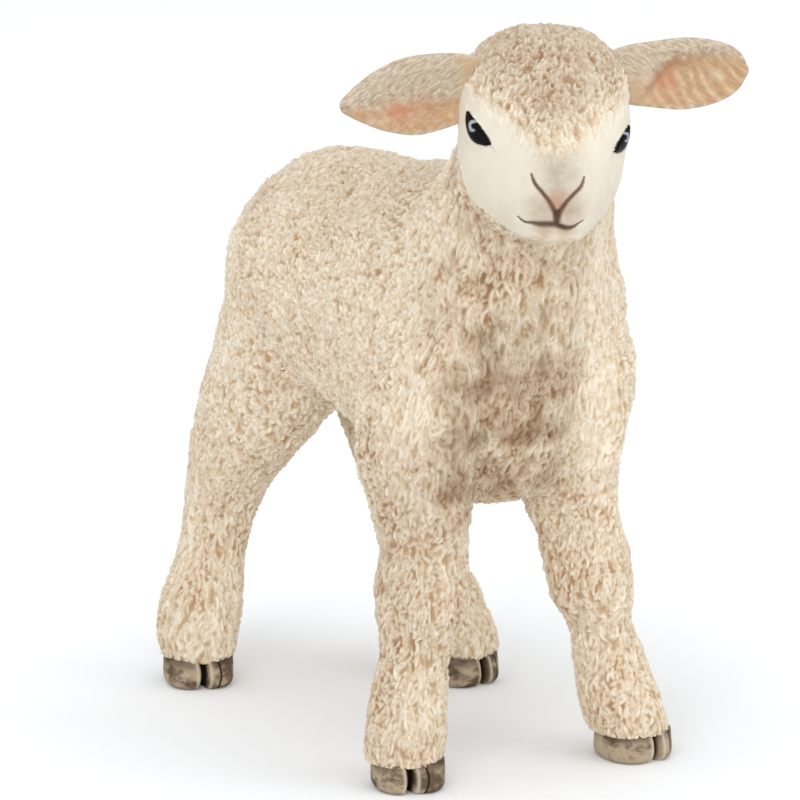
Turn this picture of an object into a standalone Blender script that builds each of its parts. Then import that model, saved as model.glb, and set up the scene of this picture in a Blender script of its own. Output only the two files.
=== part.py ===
"""Standing lamb figure, moulded in pieces that plug together.

Metres, +Z up, the lamb faces -Y, and its right side is at -X. Wool-covered pieces are lofts
through stations read from tables of shares. A leg, an ear, an eye, a hoof and the tail each
seat in the piece that carries them, GAP clear of it all round.
"""
import bpy
import bmesh
import numpy as np
from math import radians
from mathutils import Euler, Matrix, Vector

# Clearance between pieces, and how far a cutter runs past what it cuts
GAP = 0.0003
OVERRUN = 0.002

# Height of the level seams between the legs and the trunk: everything above them rises with it
SEAM_HEIGHT = 0.0166

# Trunk: rump to breast, side to side, belly to back
BODY_LENGTH = 0.0360
BODY_WIDTH = 0.0160
BODY_DEPTH = 0.0180
BELLY_ABOVE_SEAM = 0.00205
BELLY_HEIGHT = SEAM_HEIGHT + BELLY_ABOVE_SEAM
RUMP_Y = BODY_LENGTH / 2
CHEST_Y = -BODY_LENGTH / 2
# along from the rump, rise of the centre, half width and half depth as shares of the three sizes
BODY_SHARES = [
    (0.000, 0.006, 0.00, 0.00),
    (0.008, 0.000, 0.33, 0.36),
    (0.035, -0.006, 0.59, 0.62),
    (0.098, -0.006, 0.81, 0.83),
    (0.204, 0.000, 0.95, 0.955),
    (0.353, 0.006, 1.00, 0.98),
    (0.543, -0.006, 1.00, 1.00),
    (0.679, 0.010, 1.03, 1.07),
    (0.788, 0.010, 1.01, 1.12),
    (0.902, -0.040, 0.78, 0.87),
    (0.967, -0.083, 0.475, 0.62),
    (0.992, -0.094, 0.25, 0.33),
    (1.000, -0.094, 0.00, 0.00),
]

# Neck: a column from the breastbone up into the skull
BREAST_ABOVE_SEAM = 0.0007
BREAST_HEIGHT = SEAM_HEIGHT + BREAST_ABOVE_SEAM
NECK_HEIGHT = 0.0260
NECK_WIDTH = 0.0148
NECK_DEPTH = 0.0150
NECK_BEHIND_CHEST = 0.0065
BREAST_Y = CHEST_Y + NECK_BEHIND_CHEST
NECK_LEAN = 0.0050
NECK_DRIFT = 0.0008
# height, lean forward, drift aside, half width and half depth as shares of the sizes above
NECK_SHARES = [
    (0.000, 0.00, 0.0, 0.00, 0.00),
    (0.016, 0.00, 0.0, 0.40, 0.47),
    (0.090, 0.00, 0.0, 0.70, 0.77),
    (0.260, -0.04, 0.1, 0.95, 0.97),
    (0.460, 0.06, 0.5, 1.04, 1.00),
    (0.650, 0.36, 1.1, 0.96, 0.89),
    (0.820, 0.76, 1.1, 0.78, 0.75),
    (1.000, 1.00, 1.0, 0.59, 0.61),
]

# Legs: the height where each limb runs out inside the trunk, and the knee and hock sizes
FRONT_LEG_ABOVE_SEAM = 0.0158
FRONT_LEG_HEIGHT = SEAM_HEIGHT + FRONT_LEG_ABOVE_SEAM
HIND_LEG_ABOVE_SEAM = 0.0148
HIND_LEG_HEIGHT = SEAM_HEIGHT + HIND_LEG_ABOVE_SEAM
KNEE_WIDTH = 0.0057
KNEE_DEPTH = 0.0063
HOCK_WIDTH = 0.0044
HOCK_DEPTH = 0.0054
HOCK_BEND = 0.0028
LEG_TUCK = 0.0012
# height, way from foot to joint aside and lengthwise, half width and half depth,
# the backward bend at the hock, and how far the limb tucks in under the ribs
FRONT_LEG_SHARES = [
    (0.000, 0.00, 0.00, 0.77, 0.76, 0.0, 0.0),
    (0.060, 0.04, 0.04, 0.87, 0.86, 0.0, 0.0),
    (0.098, 0.14, 0.08, 0.89, 0.86, 0.0, 0.0),
    (0.165, 0.32, 0.20, 0.85, 0.84, 0.0, 0.0),
    (0.225, 0.49, 0.30, 0.76, 0.76, 0.0, 0.0),
    (0.273, 0.63, 0.38, 0.74, 0.76, 0.0, 0.0),
    (0.313, 0.76, 0.41, 0.88, 0.87, 0.0, 0.0),
    (0.355, 0.82, 0.43, 1.00, 1.00, 0.0, 0.0),
    (0.393, 0.85, 0.48, 1.00, 1.00, 0.0, 0.0),
    (0.445, 0.91, 0.58, 0.92, 0.94, 0.0, 0.0),
    (0.500, 0.95, 0.74, 1.00, 1.06, 0.0, 0.0),
    (0.560, 1.00, 0.85, 1.10, 1.22, 0.0, 0.0),
    (0.700, 1.00, 1.00, 1.24, 1.58, 0.0, 0.0),
    (0.840, 1.00, 1.10, 1.04, 1.45, 0.0, 0.5),
    (0.960, 1.00, 1.20, 0.55, 0.80, 0.0, 1.8),
    (1.000, 1.00, 1.20, 0.00, 0.00, 0.0, 2.2),
]
# the hind leg, in the same columns
HIND_LEG_SHARES = [
    (0.000, 0.00, 0.00, 1.00, 0.91, 0.00, 0.0),
    (0.055, 0.01, 0.04, 1.16, 1.00, 0.08, 0.0),
    (0.110, 0.04, 0.09, 1.22, 1.07, 0.16, 0.0),
    (0.170, 0.12, 0.16, 1.23, 1.10, 0.32, 0.0),
    (0.218, 0.22, 0.24, 1.12, 1.04, 0.50, 0.0),
    (0.262, 0.33, 0.32, 1.02, 0.96, 0.68, 0.0),
    (0.305, 0.43, 0.40, 1.00, 0.98, 0.84, 0.0),
    (0.354, 0.53, 0.48, 1.03, 1.09, 0.96, 0.0),
    (0.400, 0.63, 0.56, 1.11, 1.24, 1.00, 0.0),
    (0.450, 0.71, 0.64, 1.28, 1.56, 0.88, 0.0),
    (0.520, 0.82, 0.74, 1.52, 2.05, 0.62, 0.0),
    (0.604, 0.93, 0.86, 1.76, 2.35, 0.30, 0.0),
    (0.710, 1.00, 1.00, 1.78, 2.42, 0.06, 0.0),
    (0.840, 1.00, 1.02, 1.56, 2.20, 0.00, 0.4),
    (0.960, 1.00, 1.06, 0.90, 1.50, 0.00, 1.2),
    (1.000, 1.00, 1.06, 0.00, 0.00, 0.00, 1.6),
]
# how far each foot and joint lies aside, and behind the chest or ahead of the rump
FRONT_RIGHT_FOOT_ASIDE = -0.0078
FRONT_LEFT_FOOT_ASIDE = 0.0084
FRONT_FOOT_BEHIND_CHEST = 0.0020
FRONT_RIGHT_SHOULDER_ASIDE = -0.0061
FRONT_LEFT_SHOULDER_ASIDE = 0.0055
FRONT_RIGHT_SHOULDER_BEHIND_CHEST = 0.0042
FRONT_LEFT_SHOULDER_BEHIND_CHEST = 0.0046
HIND_RIGHT_FOOT_ASIDE = -0.00945
HIND_LEFT_FOOT_ASIDE = 0.0067
HIND_RIGHT_FOOT_AHEAD_OF_RUMP = 0.0053
HIND_LEFT_FOOT_AHEAD_OF_RUMP = 0.0125
HIP_ASIDE = 0.0046
HIND_RIGHT_HIP_AHEAD_OF_RUMP = 0.0077
HIND_LEFT_HIP_AHEAD_OF_RUMP = 0.0070
# where each leg stands, where it meets the body, and how far its toe turns out, in degrees
FRONT_RIGHT_FOOT = (FRONT_RIGHT_FOOT_ASIDE, CHEST_Y + FRONT_FOOT_BEHIND_CHEST)
FRONT_LEFT_FOOT = (FRONT_LEFT_FOOT_ASIDE, CHEST_Y + FRONT_FOOT_BEHIND_CHEST)
HIND_RIGHT_FOOT = (HIND_RIGHT_FOOT_ASIDE, RUMP_Y - HIND_RIGHT_FOOT_AHEAD_OF_RUMP)
HIND_LEFT_FOOT = (HIND_LEFT_FOOT_ASIDE, RUMP_Y - HIND_LEFT_FOOT_AHEAD_OF_RUMP)
FRONT_RIGHT_SHOULDER = (FRONT_RIGHT_SHOULDER_ASIDE, CHEST_Y + FRONT_RIGHT_SHOULDER_BEHIND_CHEST)
FRONT_LEFT_SHOULDER = (FRONT_LEFT_SHOULDER_ASIDE, CHEST_Y + FRONT_LEFT_SHOULDER_BEHIND_CHEST)
HIND_RIGHT_HIP = (-HIP_ASIDE, RUMP_Y - HIND_RIGHT_HIP_AHEAD_OF_RUMP)
HIND_LEFT_HIP = (HIP_ASIDE, RUMP_Y - HIND_LEFT_HIP_AHEAD_OF_RUMP)
FRONT_RIGHT_TOE_OUT = -14.0
FRONT_LEFT_TOE_OUT = 6.0
HIND_RIGHT_TOE_OUT = -16.0
HIND_LEFT_TOE_OUT = 8.0
PEG_RADIUS = 0.0014
PEG_LENGTH = 0.0030

# Hooves: sole to coronet, and the wedge-shaped cleft between the two toes
HOOF_HEIGHT = 0.0020
HOOF_WIDTH = 0.0046
HOOF_LENGTH = 0.0050
# height, half width and half length as shares
HOOF_SHARES = [
    (0.00, 0.93, 0.94),
    (0.18, 0.99, 1.01),
    (0.60, 1.01, 1.00),
    (1.00, 1.00, 0.94),
]
HOOF_POWER_SHARE = 2.4
CLEFT_WIDTH = 0.00055
CLEFT_DEPTH = 0.0013
HOOF_PEG_RADIUS = 0.0010
HOOF_PEG_LENGTH = 0.0016

# Head: muzzle towards -Y before it is turned, tilted and set on the neck
HEAD_LENGTH = 0.0153
HEAD_WIDTH = 0.0112
HEAD_DEPTH = 0.0122
HEAD_BACK = 0.0062
HEAD_ABOVE_BREAST = 0.02615
HEAD_BEFORE_BREAST = 0.0065
HEAD_ASIDE = 0.00063
HEAD_TURN = -15.3
HEAD_TILT = 4.5
# along from the nape, rise of the centre, half width and half depth as shares
HEAD_SHARES = [
    (0.000, 0.033, 0.00, 0.00),
    (0.026, 0.025, 0.39, 0.43),
    (0.124, 0.000, 0.71, 0.74),
    (0.275, -0.049, 0.93, 0.92),
    (0.444, -0.090, 1.00, 1.00),
    (0.575, -0.139, 0.93, 0.95),
    (0.693, -0.221, 0.77, 0.77),
    (0.797, -0.303, 0.61, 0.59),
    (0.889, -0.352, 0.50, 0.475),
    (0.954, -0.369, 0.375, 0.377),
    (0.987, -0.377, 0.21, 0.23),
    (1.000, -0.377, 0.00, 0.00),
]
HEAD_POWER_SHARE = 2.4
HEAD_PEG_RADIUS = 0.0018
HEAD_PEG_LENGTH = 0.0085
HEAD_PEG_LEAN = 0.0030

# Ears: a leaf with a raised rim, its root sunk in the head
EAR_LENGTH = 0.0096
EAR_WIDTH = 0.0051
EAR_THICKNESS = 0.0014
EAR_CUP = 0.0008
EAR_ROOT = 0.0016
# along the ear, half width and half thickness as shares
EAR_SHARES = [
    (0.00, 0.00, 0.00),
    (0.02, 0.56, 0.90),
    (0.17, 0.90, 1.00),
    (0.34, 1.00, 0.92),
    (0.52, 0.98, 0.85),
    (0.70, 0.83, 0.75),
    (0.86, 0.55, 0.65),
    (0.97, 0.25, 0.50),
    (1.00, 0.00, 0.00),
]
# where an ear leaves the head, as shares of the head's half sizes, and how it lies, in degrees
EAR_SEAT_SHARES = (0.90, 0.03, 0.21)
EAR_SWEEP = 7.0
EAR_RIGHT_LIFT = -16.0
EAR_LEFT_LIFT = 19.0

# Eyes: a glossy almond set into the side of the face
EYE_LENGTH = 0.0022
EYE_HEIGHT = 0.0014
EYE_DEPTH = 0.0010
EYE_SEAT_SHARES = (0.80, -0.55, -0.12)
EYE_TURN = 62.0
EYE_SLANT = 38.0

# Tail: hangs down the rump from its root
TAIL_LENGTH = 0.0150
TAIL_WIDTH = 0.0036
TAIL_DEPTH = 0.0030
TAIL_ROOT_ABOVE_BELLY = 0.01455
TAIL_ROOT_HEIGHT = BELLY_HEIGHT + TAIL_ROOT_ABOVE_BELLY
TAIL_HANG = 0.0034
# down the tail, way out behind, half width and half depth as shares
TAIL_SHARES = [
    (0.00, -0.30, 0.00, 0.00),
    (0.02, -0.25, 0.50, 0.60),
    (0.12, 0.15, 0.72, 0.85),
    (0.30, 0.75, 0.92, 1.00),
    (0.55, 1.00, 1.00, 1.00),
    (0.80, 1.00, 0.90, 0.92),
    (0.96, 0.94, 0.50, 0.55),
    (1.00, 0.92, 0.00, 0.00),
]

# Facets
BODY_SIDES = 32
LEG_SIDES = 24
EAR_SIDES = 20
PEG_SIDES = 20
BODY_RINGS = 22
NECK_RINGS = 16
LEG_RINGS = 26
HOOF_RINGS = 6
HEAD_RINGS = 22
EAR_RINGS = 16
TAIL_RINGS = 14
EYE_SIDES = 20
# edges steeper than this many degrees are shaded sharp
SHARP_ANGLE = 40.0
# an end ring smaller than this share of the gap is a point
POINT_SHARE = 0.001

# Paint: base colour in linear RGB, and roughness
WOOL = ((0.76, 0.66, 0.50), 0.85)
FACE = ((0.80, 0.73, 0.62), 0.60)
EAR_PINK = ((0.70, 0.52, 0.38), 0.70)
HORN = ((0.33, 0.27, 0.21), 0.55)
EYE_BLACK = ((0.01, 0.01, 0.012), 0.12)


def clear_scene():
    """Remove every object that the file opens with."""
    for old in list(bpy.data.objects):
        bpy.data.objects.remove(old, do_unlink=True)


def make_collection(name):
    """A collection linked to the scene."""
    group = bpy.data.collections.new(name)
    bpy.context.scene.collection.children.link(group)
    return group


def paint(name, finish):
    """A Principled material of one colour and roughness."""
    colour, roughness = finish
    material = bpy.data.materials.new(name)
    material.use_nodes = True
    shader = material.node_tree.nodes["Principled BSDF"]
    shader.inputs["Base Color"].default_value = (*colour, 1.0)
    shader.inputs["Roughness"].default_value = roughness
    return material


def smooth_rows(rows, count):
    """Resample a table along a cubic that passes through each row, even in distance along it."""
    table = np.array(rows, dtype=float)
    steps = np.linalg.norm(np.diff(table, axis=0), axis=1)
    reach = np.concatenate(([0.0], np.cumsum(steps)))
    slope = np.gradient(table, reach, axis=0)
    at = np.linspace(0.0, reach[-1], count)
    cell = np.clip(np.searchsorted(reach, at, side="right") - 1, 0, len(reach) - 2)
    span = (reach[cell + 1] - reach[cell])[:, None]
    t = (at - reach[cell])[:, None] / span
    start = (1 + 2 * t) * (1 - t) ** 2 * table[cell] + t * (1 - t) ** 2 * span * slope[cell]
    end = t * t * (3 - 2 * t) * table[cell + 1] + t * t * (t - 1) * span * slope[cell + 1]
    return start + end


def section(sides, power=2.0):
    """Unit superellipse: cosine and sine with their size raised to two over the power."""
    angle = np.arange(sides) * 2.0 * np.pi / sides
    cosine = np.cos(angle)
    sine = np.sin(angle)
    bow = 2.0 / power
    return np.sign(cosine) * np.abs(cosine) ** bow, np.sign(sine) * np.abs(sine) ** bow


def loft(name, rings, group):
    """A closed mesh over rings of points; an end ring without size becomes a single point."""
    rings = np.asarray(rings)
    count, sides = rings.shape[:2]
    size = np.linalg.norm(rings - rings.mean(axis=1, keepdims=True), axis=2).max(axis=1)
    shape = bmesh.new()
    rows = []
    for ring, reach in zip(rings, size):
        if reach < GAP * POINT_SHARE:
            rows.append([shape.verts.new(ring.mean(axis=0))] * sides)
        else:
            rows.append([shape.verts.new(point) for point in ring])
    for low, high in zip(rows, rows[1:]):
        for k in range(sides):
            corners = [low[k], low[(k + 1) % sides], high[(k + 1) % sides], high[k]]
            shape.faces.new(list(dict.fromkeys(corners)))
    for end in (rows[0], rows[-1]):
        if end[0] is not end[1]:
            shape.faces.new(end)
    bmesh.ops.recalc_face_normals(shape, faces=shape.faces)
    return place(name, shape, group)


def place(name, shape, group):
    """Turn a bmesh into a smooth-shaded object in a collection."""
    mesh = bpy.data.meshes.new(name)
    shape.to_mesh(mesh)
    shape.free()
    mesh.shade_smooth()
    mesh.set_sharp_from_angle(angle=radians(SHARP_ANGLE))
    thing = bpy.data.objects.new(name, mesh)
    group.objects.link(thing)
    if group is tools:
        thing.hide_render = True
        thing.display_type = "WIRE"
    return thing


def peg(name, radius, low, high, group):
    """A round peg from one point to another."""
    low = Vector(low)
    high = Vector(high)
    axis = high - low
    shape = bmesh.new()
    bmesh.ops.create_cone(shape, cap_ends=True, segments=PEG_SIDES, radius1=radius, radius2=radius,
                          depth=axis.length)
    turn = Vector((0.0, 0.0, 1.0)).rotation_difference(axis).to_matrix().to_4x4()
    shape.transform(Matrix.Translation((low + high) / 2) @ turn)
    return place(name, shape, group)


def block(name, low, high, group):
    """A square block between two corners."""
    low = np.array(low)
    high = np.array(high)
    shape = bmesh.new()
    bmesh.ops.create_cube(shape, size=1.0)
    shape.transform(Matrix.Translation((low + high) / 2) @ Matrix.Diagonal((*(high - low), 1.0)))
    return place(name, shape, group)


def combine(thing, tool, operation):
    """Join another shape on, or cut it away, with an exact Boolean."""
    step = thing.modifiers.new(tool.name, "BOOLEAN")
    step.operation = operation
    step.solver = "EXACT"
    step.object = tool


def body_rings():
    """Upright rings along the trunk, from rump to breast."""
    rows = smooth_rows(BODY_SHARES, BODY_RINGS)
    across, up = section(BODY_SIDES)
    middle = BELLY_HEIGHT + BODY_DEPTH / 2
    x = rows[:, 2:3] * BODY_WIDTH / 2 * across
    y = np.broadcast_to(RUMP_Y - rows[:, 0:1] * BODY_LENGTH, x.shape)
    z = middle + rows[:, 1:2] * BODY_DEPTH + rows[:, 3:4] * BODY_DEPTH / 2 * up
    return np.stack([x, y, z], axis=-1)


def neck_rings():
    """Level rings up the neck, from the breastbone into the skull."""
    rows = smooth_rows(NECK_SHARES, NECK_RINGS)
    across, along = section(BODY_SIDES)
    x = rows[:, 2:3] * NECK_DRIFT + rows[:, 3:4] * NECK_WIDTH / 2 * across
    y = BREAST_Y - rows[:, 1:2] * NECK_LEAN + rows[:, 4:5] * NECK_DEPTH / 2 * along
    z = np.broadcast_to(BREAST_HEIGHT + rows[:, 0:1] * NECK_HEIGHT, x.shape)
    return np.stack([x, y, z], axis=-1)


def leg_rings(shares, height, width, depth, foot, joint, toe_out):
    """Level rings up a leg; each turns with the toe, less and less towards the body."""
    rows = smooth_rows(shares, LEG_RINGS)
    across, along = section(LEG_SIDES)
    side = rows[:, 3:4] * width / 2 * across
    fore = rows[:, 4:5] * depth / 2 * along
    turn = np.radians(toe_out) * np.clip(1.0 - rows[:, 0:1] * height / SEAM_HEIGHT, 0.0, 1.0)
    x = foot[0] + rows[:, 1:2] * (joint[0] - foot[0]) + side * np.cos(turn) - fore * np.sin(turn)
    y = foot[1] + rows[:, 2:3] * (joint[1] - foot[1]) + side * np.sin(turn) + fore * np.cos(turn)
    x = x - rows[:, 6:7] * LEG_TUCK * np.sign(joint[0])
    y = y + rows[:, 5:6] * HOCK_BEND
    z = np.broadcast_to(rows[:, 0:1] * height, x.shape)
    return np.stack([x, y, z], axis=-1)


def head_rings(grow):
    """Upright rings along the head, muzzle towards -Y, about the head's own centre."""
    rows = smooth_rows(HEAD_SHARES, HEAD_RINGS)
    across, up = section(BODY_SIDES, HEAD_POWER_SHARE)
    open_end = rows[:, 2:3] > 0
    x = (rows[:, 2:3] * HEAD_WIDTH / 2 + grow * open_end) * across
    half_depth = rows[:, 3:4] * HEAD_DEPTH / 2 + grow * open_end
    stretch = 1.0 + 2.0 * grow / HEAD_LENGTH
    y = np.broadcast_to((HEAD_BACK - rows[:, 0:1] * HEAD_LENGTH) * stretch, x.shape)
    z = rows[:, 1:2] * HEAD_DEPTH + half_depth * up
    return np.stack([x, y, z], axis=-1)


def head_place():
    """The head's centre and the turn that takes its own frame into the figure's."""
    centre = Vector((HEAD_ASIDE, BREAST_Y - HEAD_BEFORE_BREAST, BREAST_HEIGHT + HEAD_ABOVE_BREAST))
    turn = Euler((0.0, radians(HEAD_TILT), radians(HEAD_TURN)), "XYZ").to_matrix().to_4x4()
    return Matrix.Translation(centre) @ turn


def on_head(shares):
    """A point in the head's own frame from shares of its half sizes."""
    return Vector((shares[0] * HEAD_WIDTH / 2, shares[1] * HEAD_LENGTH / 2, shares[2] * HEAD_DEPTH / 2))


def ear_rings(grow):
    """Rings out along +X; each is a flat ellipse whose rim curves forward by the cup."""
    rows = smooth_rows(EAR_SHARES, EAR_RINGS)
    across, thick = section(EAR_SIDES)
    open_end = rows[:, 1:2] > 0
    half_width = rows[:, 1:2] * EAR_WIDTH / 2 + grow * open_end
    half_thick = rows[:, 2:3] * EAR_THICKNESS / 2 + grow * open_end
    z = half_width * across
    y = half_thick * thick - EAR_CUP * (across * rows[:, 1:2]) ** 2
    x = np.broadcast_to(rows[:, 0:1] * (EAR_LENGTH + 2 * grow) - EAR_ROOT - grow, z.shape)
    return np.stack([x, y, z], axis=-1)


def tail_rings(grow):
    """Level rings down the tail."""
    rows = smooth_rows(TAIL_SHARES, TAIL_RINGS)
    across, along = section(EAR_SIDES)
    open_end = rows[:, 2:3] > 0
    x = (rows[:, 2:3] * TAIL_WIDTH / 2 + grow * open_end) * across
    out = RUMP_Y - TAIL_DEPTH / 2 + rows[:, 1:2] * TAIL_HANG
    y = out + (rows[:, 3:4] * TAIL_DEPTH / 2 + grow * open_end) * along
    z = np.broadcast_to(TAIL_ROOT_HEIGHT + grow - rows[:, 0:1] * (TAIL_LENGTH + 2 * grow), x.shape)
    return np.stack([x, y, z], axis=-1)


def eye_shape(grow):
    """A small egg about its own centre: +X out of the head, +Y along the almond."""
    shape = bmesh.new()
    bmesh.ops.create_uvsphere(shape, u_segments=EYE_SIDES, v_segments=EYE_SIDES // 2, radius=1.0)
    size = (EYE_DEPTH / 2 + grow, EYE_LENGTH / 2 + grow, EYE_HEIGHT / 2 + grow)
    shape.transform(Matrix.Diagonal((*size, 1.0)))
    return shape


def hoof_rings():
    """Level rings of a hoof from the sole up, about the middle of its sole, toe towards -Y."""
    rows = smooth_rows(HOOF_SHARES, HOOF_RINGS)
    across, along = section(LEG_SIDES, HOOF_POWER_SHARE)
    x = rows[:, 1:2] * HOOF_WIDTH / 2 * across
    y = rows[:, 2:3] * HOOF_LENGTH / 2 * along
    z = np.broadcast_to(rows[:, 0:1] * (HOOF_HEIGHT - GAP / 2), x.shape)
    return np.stack([x, y, z], axis=-1)


def cleft(name):
    """A wedge into the toe, wide in front and shut before the middle of the hoof."""
    front = -HOOF_LENGTH / 2 - OVERRUN
    back = -HOOF_LENGTH / 2 + CLEFT_DEPTH
    half = CLEFT_WIDTH / 2 * (back - front) / CLEFT_DEPTH
    outline = [(-half, front), (half, front), (0.0, back)]
    rings = [[(x, y, z) for x, y in outline] for z in (-OVERRUN, HOOF_HEIGHT + OVERRUN)]
    return loft(name, rings, tools)


def make_hoof(side, foot, toe_out):
    """A cloven hoof with its plug, standing on the floor under the leg and turned with the toe."""
    hoof = loft(side + "_hoof", hoof_rings(), pieces)
    coronet = Vector((0.0, 0.0, HOOF_HEIGHT))
    rise = Vector((0.0, 0.0, HOOF_PEG_LENGTH))
    plug = peg(side + "_hoof_plug", HOOF_PEG_RADIUS, coronet - rise / 2, coronet + rise, tools)
    wedge = cleft(side + "_cleft")
    for tool, operation in ((plug, "UNION"), (wedge, "DIFFERENCE")):
        tool.parent = hoof
        combine(hoof, tool, operation)
    hoof.location = (*foot, 0.0)
    hoof.rotation_euler.z = radians(toe_out)
    return hoof


def make_leg(side, rings, foot):
    """A leg from coronet to seam with its plug, and the trunk's stump, cut and bore for it."""
    at_seam = rings[np.abs(rings[:, 0, 2] - SEAM_HEIGHT).argmin()].mean(axis=0)
    reach = rings[:, :, :2].max(axis=(0, 1)) - rings[:, :, :2].min(axis=(0, 1))
    low = (*(at_seam[:2] - reach), -OVERRUN)
    high = (*(at_seam[:2] + reach), rings[:, :, 2].max() + OVERRUN)

    leg = loft(side + "_leg", rings, pieces)
    above = block(side + "_above_seam", (low[0], low[1], SEAM_HEIGHT - GAP / 2), high, tools)
    below = block(side + "_below_seam", low, (high[0], high[1], SEAM_HEIGHT + GAP / 2), tools)
    under = block(side + "_under_coronet", low, (high[0], high[1], HOOF_HEIGHT + GAP / 2), tools)
    seat = Vector((at_seam[0], at_seam[1], SEAM_HEIGHT))
    up = Vector((0.0, 0.0, PEG_LENGTH))
    plug = peg(side + "_plug", PEG_RADIUS, seat - up, seat + up, tools)
    bore = peg(side + "_bore", PEG_RADIUS + GAP, seat - up, seat + up * (1 + GAP / PEG_LENGTH), tools)
    combine(leg, above, "DIFFERENCE")
    combine(leg, under, "DIFFERENCE")
    combine(leg, plug, "UNION")

    coronet = Vector((*foot, HOOF_HEIGHT))
    rise = Vector((0.0, 0.0, HOOF_PEG_LENGTH))
    hoof_bore = peg(side + "_hoof_bore", HOOF_PEG_RADIUS + GAP, coronet - rise / 2,
                    coronet + rise * (1 + GAP / HOOF_PEG_LENGTH), tools)
    combine(leg, hoof_bore, "DIFFERENCE")

    stump = loft(side + "_stump", rings, tools)
    return leg, stump, below, bore


def stand_on_origin(things):
    """Hang the figure on an empty, set so its box stands with its bottom centre on the origin."""
    scene = bpy.context.evaluated_depsgraph_get()
    clouds = []
    for thing in things:
        shape = thing.evaluated_get(scene)
        mesh = shape.to_mesh()
        points = np.empty(len(mesh.vertices) * 3)
        mesh.vertices.foreach_get("co", points)
        shape.to_mesh_clear()
        turn = np.array(shape.matrix_world)
        clouds.append(points.reshape(-1, 3) @ turn[:3, :3].T + turn[:3, 3])
    cloud = np.concatenate(clouds)
    low = cloud.min(axis=0)
    high = cloud.max(axis=0)
    carried = [thing for thing in (*pieces.objects, *tools.objects) if thing.parent is None]
    stand = bpy.data.objects.new("lamb_stand", None)
    pieces.objects.link(stand)
    stand.location = (-(low[0] + high[0]) / 2, -(low[1] + high[1]) / 2, -low[2])
    for thing in carried:
        thing.parent = stand


clear_scene()
pieces = make_collection("lamb")
tools = make_collection("lamb_tools")

torso = loft("torso", body_rings(), pieces)
neck = loft("neck_column", neck_rings(), tools)
combine(torso, neck, "UNION")

LEGS = [
    ("front_right", FRONT_LEG_SHARES, FRONT_LEG_HEIGHT, KNEE_WIDTH, KNEE_DEPTH, FRONT_RIGHT_FOOT,
     FRONT_RIGHT_SHOULDER, FRONT_RIGHT_TOE_OUT),
    ("front_left", FRONT_LEG_SHARES, FRONT_LEG_HEIGHT, KNEE_WIDTH, KNEE_DEPTH, FRONT_LEFT_FOOT,
     FRONT_LEFT_SHOULDER, FRONT_LEFT_TOE_OUT),
    ("hind_right", HIND_LEG_SHARES, HIND_LEG_HEIGHT, HOCK_WIDTH, HOCK_DEPTH, HIND_RIGHT_FOOT,
     HIND_RIGHT_HIP, HIND_RIGHT_TOE_OUT),
    ("hind_left", HIND_LEG_SHARES, HIND_LEG_HEIGHT, HOCK_WIDTH, HOCK_DEPTH, HIND_LEFT_FOOT,
     HIND_LEFT_HIP, HIND_LEFT_TOE_OUT),
]
legs = []
hooves = []
cuts = []
for side, shares, height, width, depth, foot, joint, toe_out in LEGS:
    rings = leg_rings(shares, height, width, depth, foot, joint, toe_out)
    leg, stump, below, bore = make_leg(side, rings, foot)
    combine(torso, stump, "UNION")
    legs.append(leg)
    hooves.append(make_hoof(side, foot, toe_out))
    cuts += [below, bore]
for cut in cuts:
    combine(torso, cut, "DIFFERENCE")

head = loft("head", head_rings(0.0), pieces)
head.matrix_world = head_place()
skull_room = loft("skull_room", head_rings(GAP), tools)
skull_middle = Vector((0.0, 0.0, 0.0))
plug_end = Vector((0.0, HEAD_PEG_LEAN, -HEAD_PEG_LENGTH))
head_plug = peg("head_plug", HEAD_PEG_RADIUS, skull_middle, plug_end, tools)
head_bore = peg("head_bore", HEAD_PEG_RADIUS + GAP, skull_middle,
                plug_end * (1 + GAP / HEAD_PEG_LENGTH), tools)
for tool in (skull_room, head_plug, head_bore):
    tool.parent = head
combine(head, head_plug, "UNION")
combine(torso, skull_room, "DIFFERENCE")
combine(torso, head_bore, "DIFFERENCE")

ears = []
eyes = []
for name, side, lift in (("right", -1.0, EAR_RIGHT_LIFT), ("left", 1.0, EAR_LEFT_LIFT)):
    mirror = Matrix.Diagonal((side, 1.0, 1.0, 1.0))
    ear_turn = Euler((0.0, radians(-lift), radians(EAR_SWEEP)), "XYZ").to_matrix().to_4x4()
    ear_seat = Matrix.Translation(on_head(EAR_SEAT_SHARES)) @ ear_turn
    ear = loft("ear_" + name, ear_rings(0.0), pieces)
    ear_room = loft("ear_room_" + name, ear_rings(GAP), tools)
    ears.append(ear)

    eye_turn = Euler((radians(EYE_SLANT), 0.0, radians(EYE_TURN - 90.0)), "XYZ").to_matrix().to_4x4()
    eye_seat = Matrix.Translation(on_head(EYE_SEAT_SHARES)) @ eye_turn
    eye = place("eye_" + name, eye_shape(0.0), pieces)
    eye_room = place("eye_room_" + name, eye_shape(GAP), tools)
    eyes.append(eye)
    for thing, seat in ((ear, ear_seat), (ear_room, ear_seat), (eye, eye_seat), (eye_room, eye_seat)):
        if side < 0:
            thing.data.transform(mirror)
            thing.data.flip_normals()
        thing.parent = head
        thing.matrix_local = mirror @ seat @ mirror
    combine(head, ear_room, "DIFFERENCE")
    combine(head, eye_room, "DIFFERENCE")

tail = loft("tail", tail_rings(0.0), pieces)
tail_room = loft("tail_room", tail_rings(GAP), tools)
combine(torso, tail_room, "DIFFERENCE")

stand_on_origin([torso, head, tail, *legs, *hooves, *ears, *eyes])

for group, finish in (
    ([torso, tail, *legs], WOOL),
    ([head], FACE),
    (ears, EAR_PINK),
    (hooves, HORN),
    (eyes, EYE_BLACK),
):
    for thing in group:
        thing.data.materials.append(paint(thing.name, finish))
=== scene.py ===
"""Standing lamb figure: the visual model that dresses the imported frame.

Shapes are worked out in millimetres in the figure's own frame and written in metres.
"""
from math import cos, radians, sin

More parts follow.
